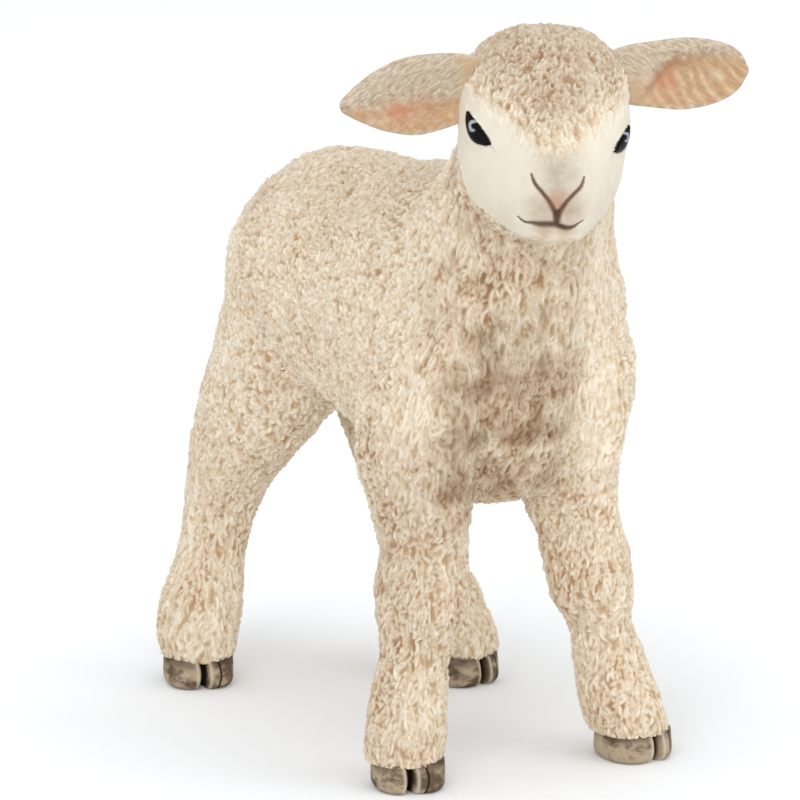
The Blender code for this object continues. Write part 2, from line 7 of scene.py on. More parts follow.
import bpy
import numpy as np
from mathutils import Euler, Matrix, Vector


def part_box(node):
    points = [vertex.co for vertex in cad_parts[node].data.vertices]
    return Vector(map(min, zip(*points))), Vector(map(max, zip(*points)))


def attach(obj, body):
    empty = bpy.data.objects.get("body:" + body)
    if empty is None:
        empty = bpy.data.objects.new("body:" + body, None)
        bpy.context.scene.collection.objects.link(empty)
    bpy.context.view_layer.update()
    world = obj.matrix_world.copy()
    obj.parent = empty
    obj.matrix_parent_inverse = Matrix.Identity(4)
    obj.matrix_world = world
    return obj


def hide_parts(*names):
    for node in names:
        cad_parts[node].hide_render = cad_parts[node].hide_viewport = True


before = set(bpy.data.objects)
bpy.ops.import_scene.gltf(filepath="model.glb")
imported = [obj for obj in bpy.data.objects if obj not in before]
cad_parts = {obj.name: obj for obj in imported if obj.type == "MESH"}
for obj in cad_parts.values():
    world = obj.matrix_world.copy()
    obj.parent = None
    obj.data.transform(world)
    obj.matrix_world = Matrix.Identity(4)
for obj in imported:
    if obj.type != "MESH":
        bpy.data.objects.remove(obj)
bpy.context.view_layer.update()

MM = 0.001
BUMP_DEPTH = 0.04 * MM
NO_TRIS = np.zeros((0, 3), dtype=np.int64)

# Trunk and neck, as in the part's source: seam height, then sizes and tables of shares
SEAM_HEIGHT = 16.6
BODY_LENGTH = 36.0
BODY_WIDTH = 16.0
BODY_DEPTH = 18.0
BELLY_HEIGHT = SEAM_HEIGHT + 2.05
RUMP_Y = BODY_LENGTH / 2
CHEST_Y = -BODY_LENGTH / 2
# along from the rump, rise, half width, half depth
BODY_SHARES = [
    (0.000, 0.006, 0.00, 0.00), (0.008, 0.000, 0.33, 0.36), (0.035, -0.006, 0.59, 0.62),
    (0.098, -0.006, 0.81, 0.83), (0.204, 0.000, 0.95, 0.955), (0.353, 0.006, 1.00, 0.98),
    (0.543, -0.006, 1.00, 1.00), (0.679, 0.010, 1.03, 1.07), (0.788, 0.010, 1.01, 1.12),
    (0.902, -0.040, 0.78, 0.87), (0.967, -0.083, 0.475, 0.62), (0.992, -0.094, 0.25, 0.33),
    (1.000, -0.094, 0.00, 0.00),
]
BREAST_HEIGHT = SEAM_HEIGHT + 0.7
BREAST_Y = CHEST_Y + 6.5
NECK_HEIGHT = 26.0
NECK_WIDTH = 14.8
NECK_DEPTH = 15.0
NECK_LEAN = 5.0
NECK_DRIFT = 0.8
# height, lean, drift, half width, half depth
NECK_SHARES = [
    (0.000, 0.00, 0.0, 0.00, 0.00), (0.016, 0.00, 0.0, 0.40, 0.47), (0.090, 0.00, 0.0, 0.70, 0.77),
    (0.260, -0.04, 0.1, 0.95, 0.97), (0.460, 0.06, 0.5, 1.04, 1.00), (0.650, 0.36, 1.1, 0.96, 0.89),
    (0.820, 0.76, 1.1, 0.78, 0.75), (1.000, 1.00, 1.0, 0.59, 0.61),
]

# Legs: height, way from foot to joint aside and lengthwise, half width, half depth, hock bend, tuck
KNEE_SIZE = (5.7, 6.3)
HOCK_SIZE = (4.4, 5.4)
FRONT_LEG_HEIGHT = SEAM_HEIGHT + 15.8
HIND_LEG_HEIGHT = SEAM_HEIGHT + 14.8
HOCK_BEND = 2.8
LEG_TUCK = 1.2
FRONT_LEG_SHARES = [
    (0.000, 0.00, 0.00, 0.77, 0.76, 0.0, 0.0), (0.060, 0.04, 0.04, 0.87, 0.86, 0.0, 0.0),
    (0.098, 0.14, 0.08, 0.89, 0.86, 0.0, 0.0), (0.165, 0.32, 0.20, 0.85, 0.84, 0.0, 0.0),
    (0.225, 0.49, 0.30, 0.76, 0.76, 0.0, 0.0), (0.273, 0.63, 0.38, 0.74, 0.76, 0.0, 0.0),
    (0.313, 0.76, 0.41, 0.88, 0.87, 0.0, 0.0), (0.355, 0.82, 0.43, 1.00, 1.00, 0.0, 0.0),
    (0.393, 0.85, 0.48, 1.00, 1.00, 0.0, 0.0), (0.445, 0.91, 0.58, 0.92, 0.94, 0.0, 0.0),
    (0.500, 0.95, 0.74, 1.00, 1.06, 0.0, 0.0), (0.560, 1.00, 0.85, 1.10, 1.22, 0.0, 0.0),
    (0.700, 1.00, 1.00, 1.24, 1.58, 0.0, 0.0), (0.840, 1.00, 1.10, 1.04, 1.45, 0.0, 0.5),
    (0.960, 1.00, 1.20, 0.55, 0.80, 0.0, 1.8), (1.000, 1.00, 1.20, 0.00, 0.00, 0.0, 2.2),
]
HIND_LEG_SHARES = [
    (0.000, 0.00, 0.00, 1.00, 0.91, 0.00, 0.0), (0.055, 0.01, 0.04, 1.16, 1.00, 0.08, 0.0),
    (0.110, 0.04, 0.09, 1.22, 1.07, 0.16, 0.0), (0.170, 0.12, 0.16, 1.23, 1.10, 0.32, 0.0),
    (0.218, 0.22, 0.24, 1.12, 1.04, 0.50, 0.0), (0.262, 0.33, 0.32, 1.02, 0.96, 0.68, 0.0),
    (0.305, 0.43, 0.40, 1.00, 0.98, 0.84, 0.0), (0.354, 0.53, 0.48, 1.03, 1.09, 0.96, 0.0),
    (0.400, 0.63, 0.56, 1.11, 1.24, 1.00, 0.0), (0.450, 0.71, 0.64, 1.28, 1.56, 0.88, 0.0),
    (0.520, 0.82, 0.74, 1.52, 2.05, 0.62, 0.0), (0.604, 0.93, 0.86, 1.76, 2.35, 0.30, 0.0),
    (0.710, 1.00, 1.00, 1.78, 2.42, 0.06, 0.0), (0.840, 1.00, 1.02, 1.56, 2.20, 0.00, 0.4),
    (0.960, 1.00, 1.06, 0.90, 1.50, 0.00, 1.2), (1.000, 1.00, 1.06, 0.00, 0.00, 0.00, 1.6),
]
# foot and joint on the plan, and the toe's turn outwards in degrees
LEGS = {
    "front_right": (FRONT_LEG_SHARES, FRONT_LEG_HEIGHT, KNEE_SIZE, (-7.8, CHEST_Y + 2.0),
                    (-6.1, CHEST_Y + 4.2), -14.0),
    "front_left": (FRONT_LEG_SHARES, FRONT_LEG_HEIGHT, KNEE_SIZE, (8.4, CHEST_Y + 2.0),
                   (5.5, CHEST_Y + 4.6), 6.0),
    "hind_right": (HIND_LEG_SHARES, HIND_LEG_HEIGHT, HOCK_SIZE, (-9.45, RUMP_Y - 5.3),
                   (-4.6, RUMP_Y - 7.7), -16.0),
    "hind_left": (HIND_LEG_SHARES, HIND_LEG_HEIGHT, HOCK_SIZE, (6.7, RUMP_Y - 12.5),
                  (4.6, RUMP_Y - 7.0), 8.0),
}
LEG_START = 1.15

# Head: nape to muzzle, then rise, half width and half depth as shares
HEAD_LENGTH = 15.3
HEAD_WIDTH = 11.2
HEAD_DEPTH = 12.2
HEAD_BACK = 6.2
HEAD_POWER = 2.4
HEAD_CENTRE = (0.63, BREAST_Y - 6.5, BREAST_HEIGHT + 26.15)
HEAD_TILT = 4.5
SKULL_TURN = -15.3
FACE_TURN = -19.1
HEAD_SHARES = [
    (0.000, 0.033, 0.00, 0.00), (0.026, 0.025, 0.39, 0.43), (0.124, 0.000, 0.71, 0.74),
    (0.275, -0.049, 0.93, 0.92), (0.444, -0.090, 1.00, 1.00), (0.575, -0.139, 0.93, 0.95),
    (0.693, -0.221, 0.77, 0.77), (0.797, -0.303, 0.61, 0.59), (0.889, -0.352, 0.50, 0.475),
    (0.954, -0.369, 0.375, 0.377), (0.987, -0.377, 0.21, 0.23), (1.000, -0.377, 0.00, 0.00),
]

# Ears: along the leaf, half width, half thickness
EAR_LENGTH = 9.6
EAR_WIDTH = 5.1
EAR_THICKNESS = 1.4
EAR_CUP = 0.8
EAR_ROOT = 1.6
EAR_SEAT = (0.90 * HEAD_WIDTH / 2, 0.03 * HEAD_LENGTH / 2, 0.21 * HEAD_DEPTH / 2)
EAR_SWEEP = 7.0
EAR_DIP = 0.36
STREAK_HEIGHT = 0.04
# Each ear's lift in degrees, rise and extra length, and its outline as along, half width, half thickness.
# On its front: the hollow's upper edge (shares along, shares of the half width), the blush (place and
# reach, along and across), the shade under that edge, the root's tint (where it fades, how much of its
# upper part is left out), and the slant of the hairs.
EARS = {
    "right": {
        "lift": -14.5, "rise": 0.10, "extra": 0.0,
        "outline": [
            (0.00, 0.00, 0.00), (0.02, 0.52, 0.90), (0.17, 0.81, 1.00), (0.34, 0.94, 0.92),
            (0.52, 0.98, 0.85), (0.70, 0.81, 0.75), (0.86, 0.50, 0.65), (0.97, 0.20, 0.50),
            (1.00, 0.00, 0.00),
        ],
        "edge": ((0.12, 0.31, 0.55, 0.90), (-0.50, -0.22, -0.08, -0.20)),
        "blush": (0.60, -0.34, 0.16, 0.26), "shade": 0.15, "root": (0.12, 0.28, 0.0), "slant": -2.4,
    },
    "left": {
        "lift": 3.0, "rise": 1.23, "extra": 0.25,
        "outline": [
            (0.00, 0.00, 0.00), (0.02, 0.50, 0.90), (0.17, 0.74, 1.00), (0.34, 0.83, 0.92),
            (0.52, 0.90, 0.85), (0.70, 0.84, 0.75), (0.86, 0.66, 0.65), (0.95, 0.42, 0.55),
            (0.99, 0.17, 0.50), (1.00, 0.00, 0.00),
        ],
        "edge": ((0.22, 0.29, 0.35, 0.48, 0.93), (-0.95, -0.50, 0.00, 0.46, 0.66)),
        "blush": (0.42, -0.12, 0.11, 0.36), "shade": 1.0, "root": (0.22, 0.46, 0.85), "slant": 1.4,
    },
}

# Tail: down from its root, way out behind, half width, half depth
TAIL_LENGTH = 15.0
TAIL_WIDTH = 3.6
TAIL_DEPTH = 3.0
TAIL_ROOT_HEIGHT = BELLY_HEIGHT + 14.55
TAIL_HANG = 3.4
TAIL_WOOL_DEPTH = 0.26
TAIL_WOOL_SINK = 0.10
TAIL_SHARES = [
    (0.00, -0.30, 0.00, 0.00), (0.02, -0.25, 0.50, 0.60), (0.12, 0.15, 0.72, 0.85),
    (0.30, 0.75, 0.92, 1.00), (0.55, 1.00, 1.00, 1.00), (0.80, 1.00, 0.90, 0.92),
    (0.96, 0.94, 0.50, 0.55), (1.00, 0.92, 0.00, 0.00),
]

# Hooves: height, half width, half length
HOOF_HEIGHT = 1.95
HOOF_WIDTH = 4.6
HOOF_LENGTH = 5.0
HOOF_POWER = 2.4
CLEFT_DEPTH = 1.25
SOLE_ROUND = 0.35
CLEFT_ASIDE = {"front_right": -0.35, "front_left": 0.35, "hind_right": 0.0, "hind_left": 0.30}
HOOF_SHARES = [(0.00, 0.93, 0.94), (0.18, 0.99, 1.01), (0.60, 1.01, 1.00), (1.00, 1.00, 0.94)]

# Eyes: almonds that fall forward to a tip by the nose, as (place along, height, size) in the face's frame.
# The almond's width fades by one power at its blunt upper end and by another at its tip. It bulges by
# one depth in front and another behind, and its middle lies a little under the cheek.
EYES = {"right": (-3.69, -0.70, 1.00), "left": (-3.82, -0.84, 0.86)}
EYE_AXIS = (-0.84, -0.544)
EYE_HALF = 1.46
EYE_ABOVE = 0.20
EYE_BELOW = 0.88
EYE_POWERS = (0.60, 0.85)
EYE_BULGE = (0.26, 0.45)
EYE_SINK = 0.10
GLINT_ASIDE = (0.09, 0.10)
GLINT_RADIUS = 0.29
GLINT_HALF = 0.13

# Wool: the skin's grid, the spacing of its curls and locks, how far they stand out of the skin and how
# far their hollows sink under it, and the wool's lower end over each hoof
SKIN_VOXEL = 0.375
SKIN_ROUNDS = 11
SEED_JITTER = 0.26
CURL_SPACING = 0.43
LOCK_SPACING = 0.85
WOOL_DEPTH = 0.40
WOOL_SINK = 0.15
WOOL_END = 1.80
SWIRL_SIZE = 5.0

# Cuts between the skin's pieces: lengthwise and level through the trunk, and from the nape to just
# under the throat in the face's frame
TRUNK_CUTS = (-6.5, 0.5, 7.5)
TRUNK_LEVEL = 26.5
HEAD_CUT_NORMAL = np.array((0.0, -0.634, 0.774))
HEAD_CUT_OFFSET = float(np.array((0.0, -3.0, -8.2)) @ HEAD_CUT_NORMAL)
CAP_SINK = 0.6

# Soft pushes that fit the skin to the outline in the photo: place, reach, shift
PUSHES = [
    ((8.2, -12.8, 27.9), 4.0, (1.15, 0.0, 0.0)), ((8.6, -13.5, 20.5), 4.2, (-1.05, 0.0, 0.0)),
    ((8.5, -14.0, 13.0), 3.4, (-0.10, 0.0, 0.0)), ((6.6, -13.5, 35.0), 4.0, (-0.75, 0.0, 0.0)),
    ((7.3, -12.6, 17.1), 2.4, (-0.30, 0.15, 0.0)), ((8.1, -13.3, 10.8), 2.2, (-0.27, 0.13, 0.0)),
    ((-4.7, 15.7, 33.7), 5.0, (0.22, -0.18, -0.27)), ((-8.8, 15.5, 24.5), 4.0, (0.18, -0.09, 0.0)),
    ((-9.1, 15.0, 21.8), 2.8, (0.20, -0.10, 0.0)), ((-7.2, 10.9, 13.4), 3.5, (-0.18, 0.09, 0.0)),
    ((-3.8, 11.9, 15.5), 4.5, (-0.54, 0.26, 0.0)), ((-4.4, 5.0, 20.3), 4.0, (0.05, 0.0, 1.05)),
    ((-10.5, 15.5, 13.0), 4.5, (-0.42, 0.20, 0.0)), ((-12.0, 14.6, 5.5), 3.5, (-0.25, 0.12, 0.0)),
    ((-9.1, -13.3, 4.0), 5.0, (-0.38, 0.18, 0.0)), ((7.2, -13.3, 5.0), 3.5, (-0.18, 0.09, 0.0)),
    ((5.2, -12.4, 4.3), 2.4, (-0.14, 0.07, 0.0)), ((-8.5, -5.0, 21.3), 2.2, (0.25, -0.12, 0.0)),
    ((-10.0, -11.6, 16.0), 2.5, (0.22, -0.11, 0.0)), ((-9.8, -10.0, 20.5), 1.8, (-0.18, 0.09, 0.0)),
    ((7.4, 8.2, 2.2), 2.2, (0.40, -0.20, 0.0)), ((7.6, 7.4, 5.2), 2.2, (-0.32, 0.16, 0.0)),
    ((7.0, 8.2, 8.5), 3.0, (-0.50, 0.24, 0.0)),
    ((2.6, -10.2, 16.2), 2.2, (-0.50, 0.24, 0.0)), ((-4.2, -13.0, 14.0), 3.0, (0.18, -0.09, 0.0)),
    ((0.5, -1.0, 38.0), 4.0, (0.0, 0.0, 0.60)), ((-0.3, 0.8, 37.2), 3.2, (0.0, 0.0, 0.42)),
    ((-3.9, -10.2, 40.6), 2.8, (0.50, -0.24, 0.0)), ((-5.4, -12.6, 41.6), 2.2, (0.30, -0.15, 0.0)),
    ((-3.2, -16.0, 47.0), 3.0, (0.12, 0.0, -0.45)), ((4.6, -15.5, 48.2), 2.2, (0.15, -0.07, 0.20)),
    ((5.0, -17.0, 40.6), 2.6, (-0.55, 0.0, 0.0)),
]

# Studio: what the camera looks at and from where, the room's light, and the floor's glow by distance
LOOK_AT = Vector((-0.001893, 0.001313, 0.02155))
CAMERA_SIDE = radians(26.0)
CAMERA_RISE = radians(13.0)
CAMERA_AWAY = 0.450
CAMERA_LENS = 310.0
ROOM_LIGHT = 0.74
FLOOR_HALF = 4.0
FLOOR_LIFT = (0.05, 0.19)
FLOOR_REACH = (0.012, 0.040)

# The frame stands on its box's bottom centre, so the source's tables move by this much
hoof_low, hoof_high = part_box("front_right_hoof")
FOOT = LEGS["front_right"][3]
SHIFT = np.array([(hoof_low[0] + hoof_high[0]) / 2 / MM - FOOT[0],
                  (hoof_low[1] + hoof_high[1]) / 2 / MM - FOOT[1], 0.0])


def smooth_rows(rows, count):
    """A table resampled along the cubic through its rows, even in distance along it."""
    table = np.array(rows, dtype=float)
    steps = np.linalg.norm(np.diff(table, axis=0), axis=1)
    reach = np.concatenate(([0.0], np.cumsum(steps)))
    slope = np.gradient(table, reach, axis=0)
    at = np.linspace(0.0, reach[-1], count)
    cell = np.clip(np.searchsorted(reach, at, side="right") - 1, 0, len(reach) - 2)
    span = (reach[cell + 1] - reach[cell])[:, None]
    t = (at - reach[cell])[:, None] / span
    start = (1 + 2 * t) * (1 - t) ** 2 * table[cell] + t * (1 - t) ** 2 * span * slope[cell]
    end = t * t * (3 - 2 * t) * table[cell + 1] + t * t * (t - 1) * span * slope[cell + 1]
    return start + end


def section(sides, power=2.0):
    """Unit superellipse: cosine and sine with their size raised to two over the power."""
    angle = np.arange(sides) * 2.0 * np.pi / sides
    cosine, sine = np.cos(angle), np.sin(angle)
    bow = 2.0 / power
    return np.sign(cosine) * np.abs(cosine) ** bow, np.sign(sine) * np.abs(sine) ** bow


def step_up(value, low, high):
    """Zero below low, one above high, and a cubic ease between them."""
    t = np.clip((value - low) / (high - low), 0.0, 1.0)
    return t * t * (3 - 2 * t)


def bell(points, place, reach):
    """One at a place, fading as a bell curve of the distance from it."""
    return np.exp(-(np.linalg.norm(points - np.array(place), axis=1) / reach) ** 2)


def shell(rings):
    """Points and faces over rings of points: quads between neighbours, each end drawn to one point."""
    rings = np.asarray(rings)
    size = np.linalg.norm(rings - rings.mean(axis=1, keepdims=True), axis=2).max(axis=1)
    ends = rings[[0, -1]].mean(axis=1)
    rings = rings[size > 1e-4]
    count, sides = rings.shape[:2]
    points = np.concatenate((rings.reshape(-1, 3), ends))
    row = np.arange(count - 1)[:, None] * sides
    k = np.arange(sides)[None, :]
    after = (k + 1) % sides
    quads = np.stack((row + k, row + after, row + sides + after, row + sides + k), -1).reshape(-1, 4)
    turn = np.arange(sides)
    follow = (turn + 1) % sides
    last = (count - 1) * sides
    start = np.stack((follow, turn, np.full(sides, count * sides)), -1)
    finish = np.stack((last + turn, last + follow, np.full(sides, count * sides + 1)), -1)
    tris = np.concatenate((start, finish))
    if volume(points, quads, tris) < 0:
        quads, tris = quads[:, ::-1], tris[:, ::-1]
    return points, quads, tris


def volume(points, quads, tris):
    """Six times the signed volume inside the faces."""
    corners = np.concatenate((quads[:, [0, 1, 2]], quads[:, [0, 2, 3]], tris))
    a, b, c = points[corners[:, 0]], points[corners[:, 1]], points[corners[:, 2]]
    return float((a * np.cross(b, c)).sum())


def on_points(grid, poles=True):
    """A grid of values as one value a point of its shell: rows drawn to a pole go, and each end point
    takes the value beside it."""
    rows = grid[1:-1] if poles else grid
    flat = rows.reshape(-1, *grid.shape[2:])
    return np.concatenate((flat, flat[:1], flat[-1:]))


def face_normals(points, quads, tris):
    """Outward normals at the points: the faces' area vectors, added up and made one long."""
    total = np.zeros_like(points)
    across = np.cross(points[quads[:, 2]] - points[quads[:, 0]], points[quads[:, 3]] - points[quads[:, 1]])
    corner = np.cross(points[tris[:, 1]] - points[tris[:, 0]], points[tris[:, 2]] - points[tris[:, 0]])
    for faces, vector in ((quads, across), (tris, corner)):
        for k in range(faces.shape[1]):
            for axis in range(3):
                total[:, axis] += np.bincount(faces[:, k], vector[:, axis], len(points))
    return total / np.maximum(np.linalg.norm(total, axis=1, keepdims=True), 1e-12)


def write_mesh(name, points, quads, tris, scale=1.0):
    """A mesh datablock from whole arrays of points and faces."""
    mesh = bpy.data.meshes.new(name)
    mesh.vertices.add(len(points))
    mesh.vertices.foreach_set("co", (np.asarray(points) * scale).astype(np.float32).ravel())
    corners = np.concatenate((quads.ravel(), tris.ravel())).astype(np.int32)
    starts = np.concatenate((np.arange(len(quads)) * 4, len(quads) * 4 + np.arange(len(tris)) * 3))
    mesh.loops.add(len(corners))
    mesh.loops.foreach_set("vertex_index", corners)
    mesh.polygons.add(len(starts))
    mesh.polygons.foreach_set("loop_start", starts.astype(np.int32))
    mesh.update(calc_edges=True)
    mesh.shade_smooth()
    return mesh


def read_mesh(mesh):
    """Points and quads of a mesh that has only quads."""
    points = np.empty(len(mesh.vertices) * 3)
    mesh.vertices.foreach_get("co", points)
    corners = np.empty(len(mesh.loops), dtype=np.int32)
    mesh.loops.foreach_get("vertex_index", corners)
    return points.reshape(-1, 3), corners.reshape(-1, 4)


def through_modifier(points, quads, tris, kind, **settings):
    """The points and quads that one modifier makes of a shape."""
    mesh = write_mesh("working_shape", points, quads, tris)
    thing = bpy.data.objects.new("working_shape", mesh)
    bpy.context.scene.collection.objects.link(thing)
    step = thing.modifiers.new(kind, kind)
    for key, value in settings.items():
        setattr(step, key, value)
    shaped = thing.evaluated_get(bpy.context.evaluated_depsgraph_get())
    result = read_mesh(shaped.to_mesh())
    shaped.to_mesh_clear()
    bpy.data.objects.remove(thing, do_unlink=True)
    bpy.data.meshes.remove(mesh)
    return result


def eased(values, quads, rounds):
    """Each point's values move half of the way to the mean of its neighbours', several times over."""
    here = quads.ravel()
    there = np.roll(quads, -1, axis=1).ravel()
    columns = np.asarray(values, dtype=float).reshape(len(values), -1)
    degree = np.maximum(np.bincount(here, minlength=len(columns)), 1)[:, None]
    for _ in range(rounds):
        total = np.stack([np.bincount(here, column[there], len(columns)) for column in columns.T], -1)
        columns = 0.5 * columns + 0.5 * total / degree
    return columns.reshape(values.shape)


def chance(points, salt):
    """A number from 0 to 1 for each point, drawn from its place to a twentieth of a millimetre."""
    place = np.round(np.asarray(points) * 20.0)
    wave = np.sin(place @ np.array((12.9898, 78.233, 37.719)) + salt * 7.13) * 43758.5453
    return wave - np.floor(wave)


def drift(points, size, salt):
    """Smooth noise from -1 to 1: three crossed waves per octave with bent phases, of a given size."""
    p = np.asarray(points) / size
    total = np.zeros(len(p))
    for octave in range(2):
        q = p * 1.9 ** octave + salt * 1.7
        a = np.sin(q[:, 0] * 2.1 + 1.3 * np.sin(q[:, 1] * 1.7 + salt))
        b = np.sin(q[:, 1] * 2.3 + 1.3 * np.sin(q[:, 2] * 1.9 + 2 * salt))
        c = np.sin(q[:, 2] * 1.9 + 1.3 * np.sin(q[:, 0] * 2.2 + 3 * salt))
        total += (a + b + c) / 3 * 0.6 ** octave
    return np.clip(total / 1.1, -1.0, 1.0)


def body_rings(count=120, sides=120):
    """Upright ellipses along the trunk, from rump to breast."""
    rows = smooth_rows(BODY_SHARES, count)
    across, up = section(sides)
    x = rows[:, 2:3] * BODY_WIDTH / 2 * across
    y = np.broadcast_to(RUMP_Y - rows[:, 0:1] * BODY_LENGTH, x.shape)
    z = BELLY_HEIGHT + BODY_DEPTH / 2 + rows[:, 1:2] * BODY_DEPTH + rows[:, 3:4] * BODY_DEPTH / 2 * up
    return np.stack([x, y, z], -1) + SHIFT


def neck_rings(count=90, sides=110):
    """Level ellipses up the neck, from the breastbone into the skull."""
    rows = smooth_rows(NECK_SHARES, count)
    across, along = section(sides)
    x = rows[:, 2:3] * NECK_DRIFT + rows[:, 3:4] * NECK_WIDTH / 2 * across
    y = BREAST_Y - rows[:, 1:2] * NECK_LEAN + rows[:, 4:5] * NECK_DEPTH / 2 * along
    z = np.broadcast_to(BREAST_HEIGHT + rows[:, 0:1] * NECK_HEIGHT, x.shape)
    return np.stack([x, y, z], -1) + SHIFT


def leg_rings(shares, height, size, foot, joint, toe_out, count=110, sides=64):
    """Level ellipses up a leg from the coronet; each turns with the toe, less towards the body."""
    rows = smooth_rows(shares, count)
    rows = rows[rows[:, 0] * height > LEG_START]
    across, along = section(sides)
    side = rows[:, 3:4] * size[0] / 2 * across
    fore = rows[:, 4:5] * size[1] / 2 * along
    turn = np.radians(toe_out) * np.clip(1.0 - rows[:, 0:1] * height / SEAM_HEIGHT, 0.0, 1.0)
    x = foot[0] + rows[:, 1:2] * (joint[0] - foot[0]) + side * np.cos(turn) - fore * np.sin(turn)
    y = foot[1] + rows[:, 2:3] * (joint[1] - foot[1]) + side * np.sin(turn) + fore * np.cos(turn)
    x = x - rows[:, 6:7] * LEG_TUCK * np.sign(joint[0])
    y = y + rows[:, 5:6] * HOCK_BEND
    z = np.broadcast_to(rows[:, 0:1] * height, x.shape)
    return np.stack([x, y, z], -1) + SHIFT


def head_frame(turn):
    """The head's centre and the matrix that takes its own frame into the figure's."""
    matrix = np.array(Euler((0.0, radians(HEAD_TILT), radians(turn)), "XYZ").to_matrix())
    return np.array(HEAD_CENTRE) + SHIFT, matrix


def head_rings(count=100, sides=110):
    """Upright superellipses along the head, muzzle towards -Y, then turned and set on the neck."""
    rows = smooth_rows(HEAD_SHARES, count)
    across, up = section(sides, HEAD_POWER)
    x = rows[:, 2:3] * HEAD_WIDTH / 2 * across
    y = np.broadcast_to(HEAD_BACK - rows[:, 0:1] * HEAD_LENGTH, x.shape)
    z = rows[:, 1:2] * HEAD_DEPTH + rows[:, 3:4] * HEAD_DEPTH / 2 * up
    centre, matrix = head_frame(FACE_TURN)
    return np.stack([x, y, z], -1) @ matrix.T + centre


def head_section(y):
    """Share along the head at a place in its frame, and there its rise, half width and half depth."""
    rows = smooth_rows(HEAD_SHARES, 200)
    share = (HEAD_BACK - y) / HEAD_LENGTH
    rise, wide, deep = (np.interp(share, rows[:, 0], rows[:, k]) for k in (1, 2, 3))
    return share, rise * HEAD_DEPTH, wide * HEAD_WIDTH / 2, deep * HEAD_DEPTH / 2


def cheek(y, z):
    """How far out the side of the head lies at a place along it and a height, in the head's frame."""
    _, rise, wide, deep = head_section(y)
    t = np.clip(np.abs((z - rise) / deep), 0.0, 0.999)
    return wide * (1 - t ** HEAD_POWER) ** (1 / HEAD_POWER)


def head_ratio(place):
    """One on the head's surface, less inside and more outside, from the superellipse round each place."""
    share, rise, wide, deep = head_section(place[:, 1])
    ratio = (np.abs(place[:, 0] / (wide + 0.05)) ** HEAD_POWER
             + np.abs((place[:, 2] - rise) / (deep + 0.05)) ** HEAD_POWER)
    return np.where(share > 0.9, 1.0, ratio ** (1 / HEAD_POWER))


def almond_bow(t, least):
    """The almond's width as a share: one less the square of the place along it, to its end's power."""
    return np.maximum(1 - t * t, least) ** np.where(t < 0, *EYE_POWERS)


def almond(y, z, side):
    """Place along the almond from -1 to 1, place across from -1 (upper edge) to 1 (lower edge)."""
    middle_y, middle_z, size = EYES[side]
    a = ((y - middle_y) * EYE_AXIS[0] + (z - middle_z) * EYE_AXIS[1]) / size
    b = ((y - middle_y) * -EYE_AXIS[1] + (z - middle_z) * EYE_AXIS[0]) / size
    t = a / EYE_HALF
    return t, b / (almond_bow(t, 0.02) * np.where(b > 0, EYE_BELOW, EYE_ABOVE))


# Painted face lines as (aside, height, half width) in the face's frame; both sides have the same nose arm
NOSE_ARM = smooth_rows([
    (1.66, -2.62, 0.05), (1.46, -3.08, 0.11), (1.00, -3.58, 0.13), (0.55, -4.08, 0.15),
    (0.24, -4.56, 0.18), (0.03, -4.96, 0.20),
], 12)
NOSE_STEM = smooth_rows([(0.02, -4.76, 0.20), (0.02, -5.10, 0.26), (0.0, -5.50, 0.30)], 4)
MOUTH_LINE = smooth_rows([
    (-2.29, -5.38, 0.03), (-1.93, -5.60, 0.07), (-1.42, -5.56, 0.12), (-1.05, -5.57, 0.20),
    (-0.05, -5.54, 0.22), (0.32, -5.63, 0.21), (0.72, -5.73, 0.19), (1.13, -5.67, 0.12),
    (1.45, -5.46, 0.06), (1.78, -5.29, 0.03),
], 20)


def line_distance(x, z, path):
    """Distance on the face from a path of straight runs."""
    best = np.full(len(x), 99.0)
    for (ax, az, _), (bx, bz, _) in zip(path, path[1:]):
        run = (bx - ax, bz - az)
        t = np.clip(((x - ax) * run[0] + (z - az) * run[1]) / (run[0] ** 2 + run[1] ** 2), 0, 1)
        best = np.minimum(best, np.hypot(x - ax - t * run[0], z - az - t * run[1]))
    return best


def wool_edge(place):
    """Signed distance in from the wool's edge on the head, in the face's frame: below zero is bare.
    Wool lies over the fringe, behind the cheek and under the jaw line, with a ragged edge."""
    x, y, z = place.T
    ragged = (0.15 * np.sin(x * 5.1 + 0.7) + 0.13 * np.sin(x * 11.3 + z * 4.0)
              + 0.10 * np.sin(x * 19.0 - z * 7.0))
    fringe = np.interp(np.abs(x + 0.05), (0.0, 1.0, 1.7, 2.3, 2.9, 3.5, 4.0, 4.4, 4.75, 5.2, 5.6),
                       (-1.85, -1.72, -1.30, -0.60, -0.20, 0.12, 0.42, 0.56, 1.0, 1.7, 2.2))
    front = z - fringe + ragged
    behind = y - np.interp(z, (-6.1, -5.8, -5.2, -4.3, -3.5, -2.6, -1.5, 0.5, 3.0),
                           (-5.6, -3.0, -2.2, -2.05, -1.7, -1.3, -0.6, 0.9, 0.6))
    under = -6.5 - z
    return np.maximum(np.maximum(front, behind + 0.4 * ragged), under + 0.3 * ragged)


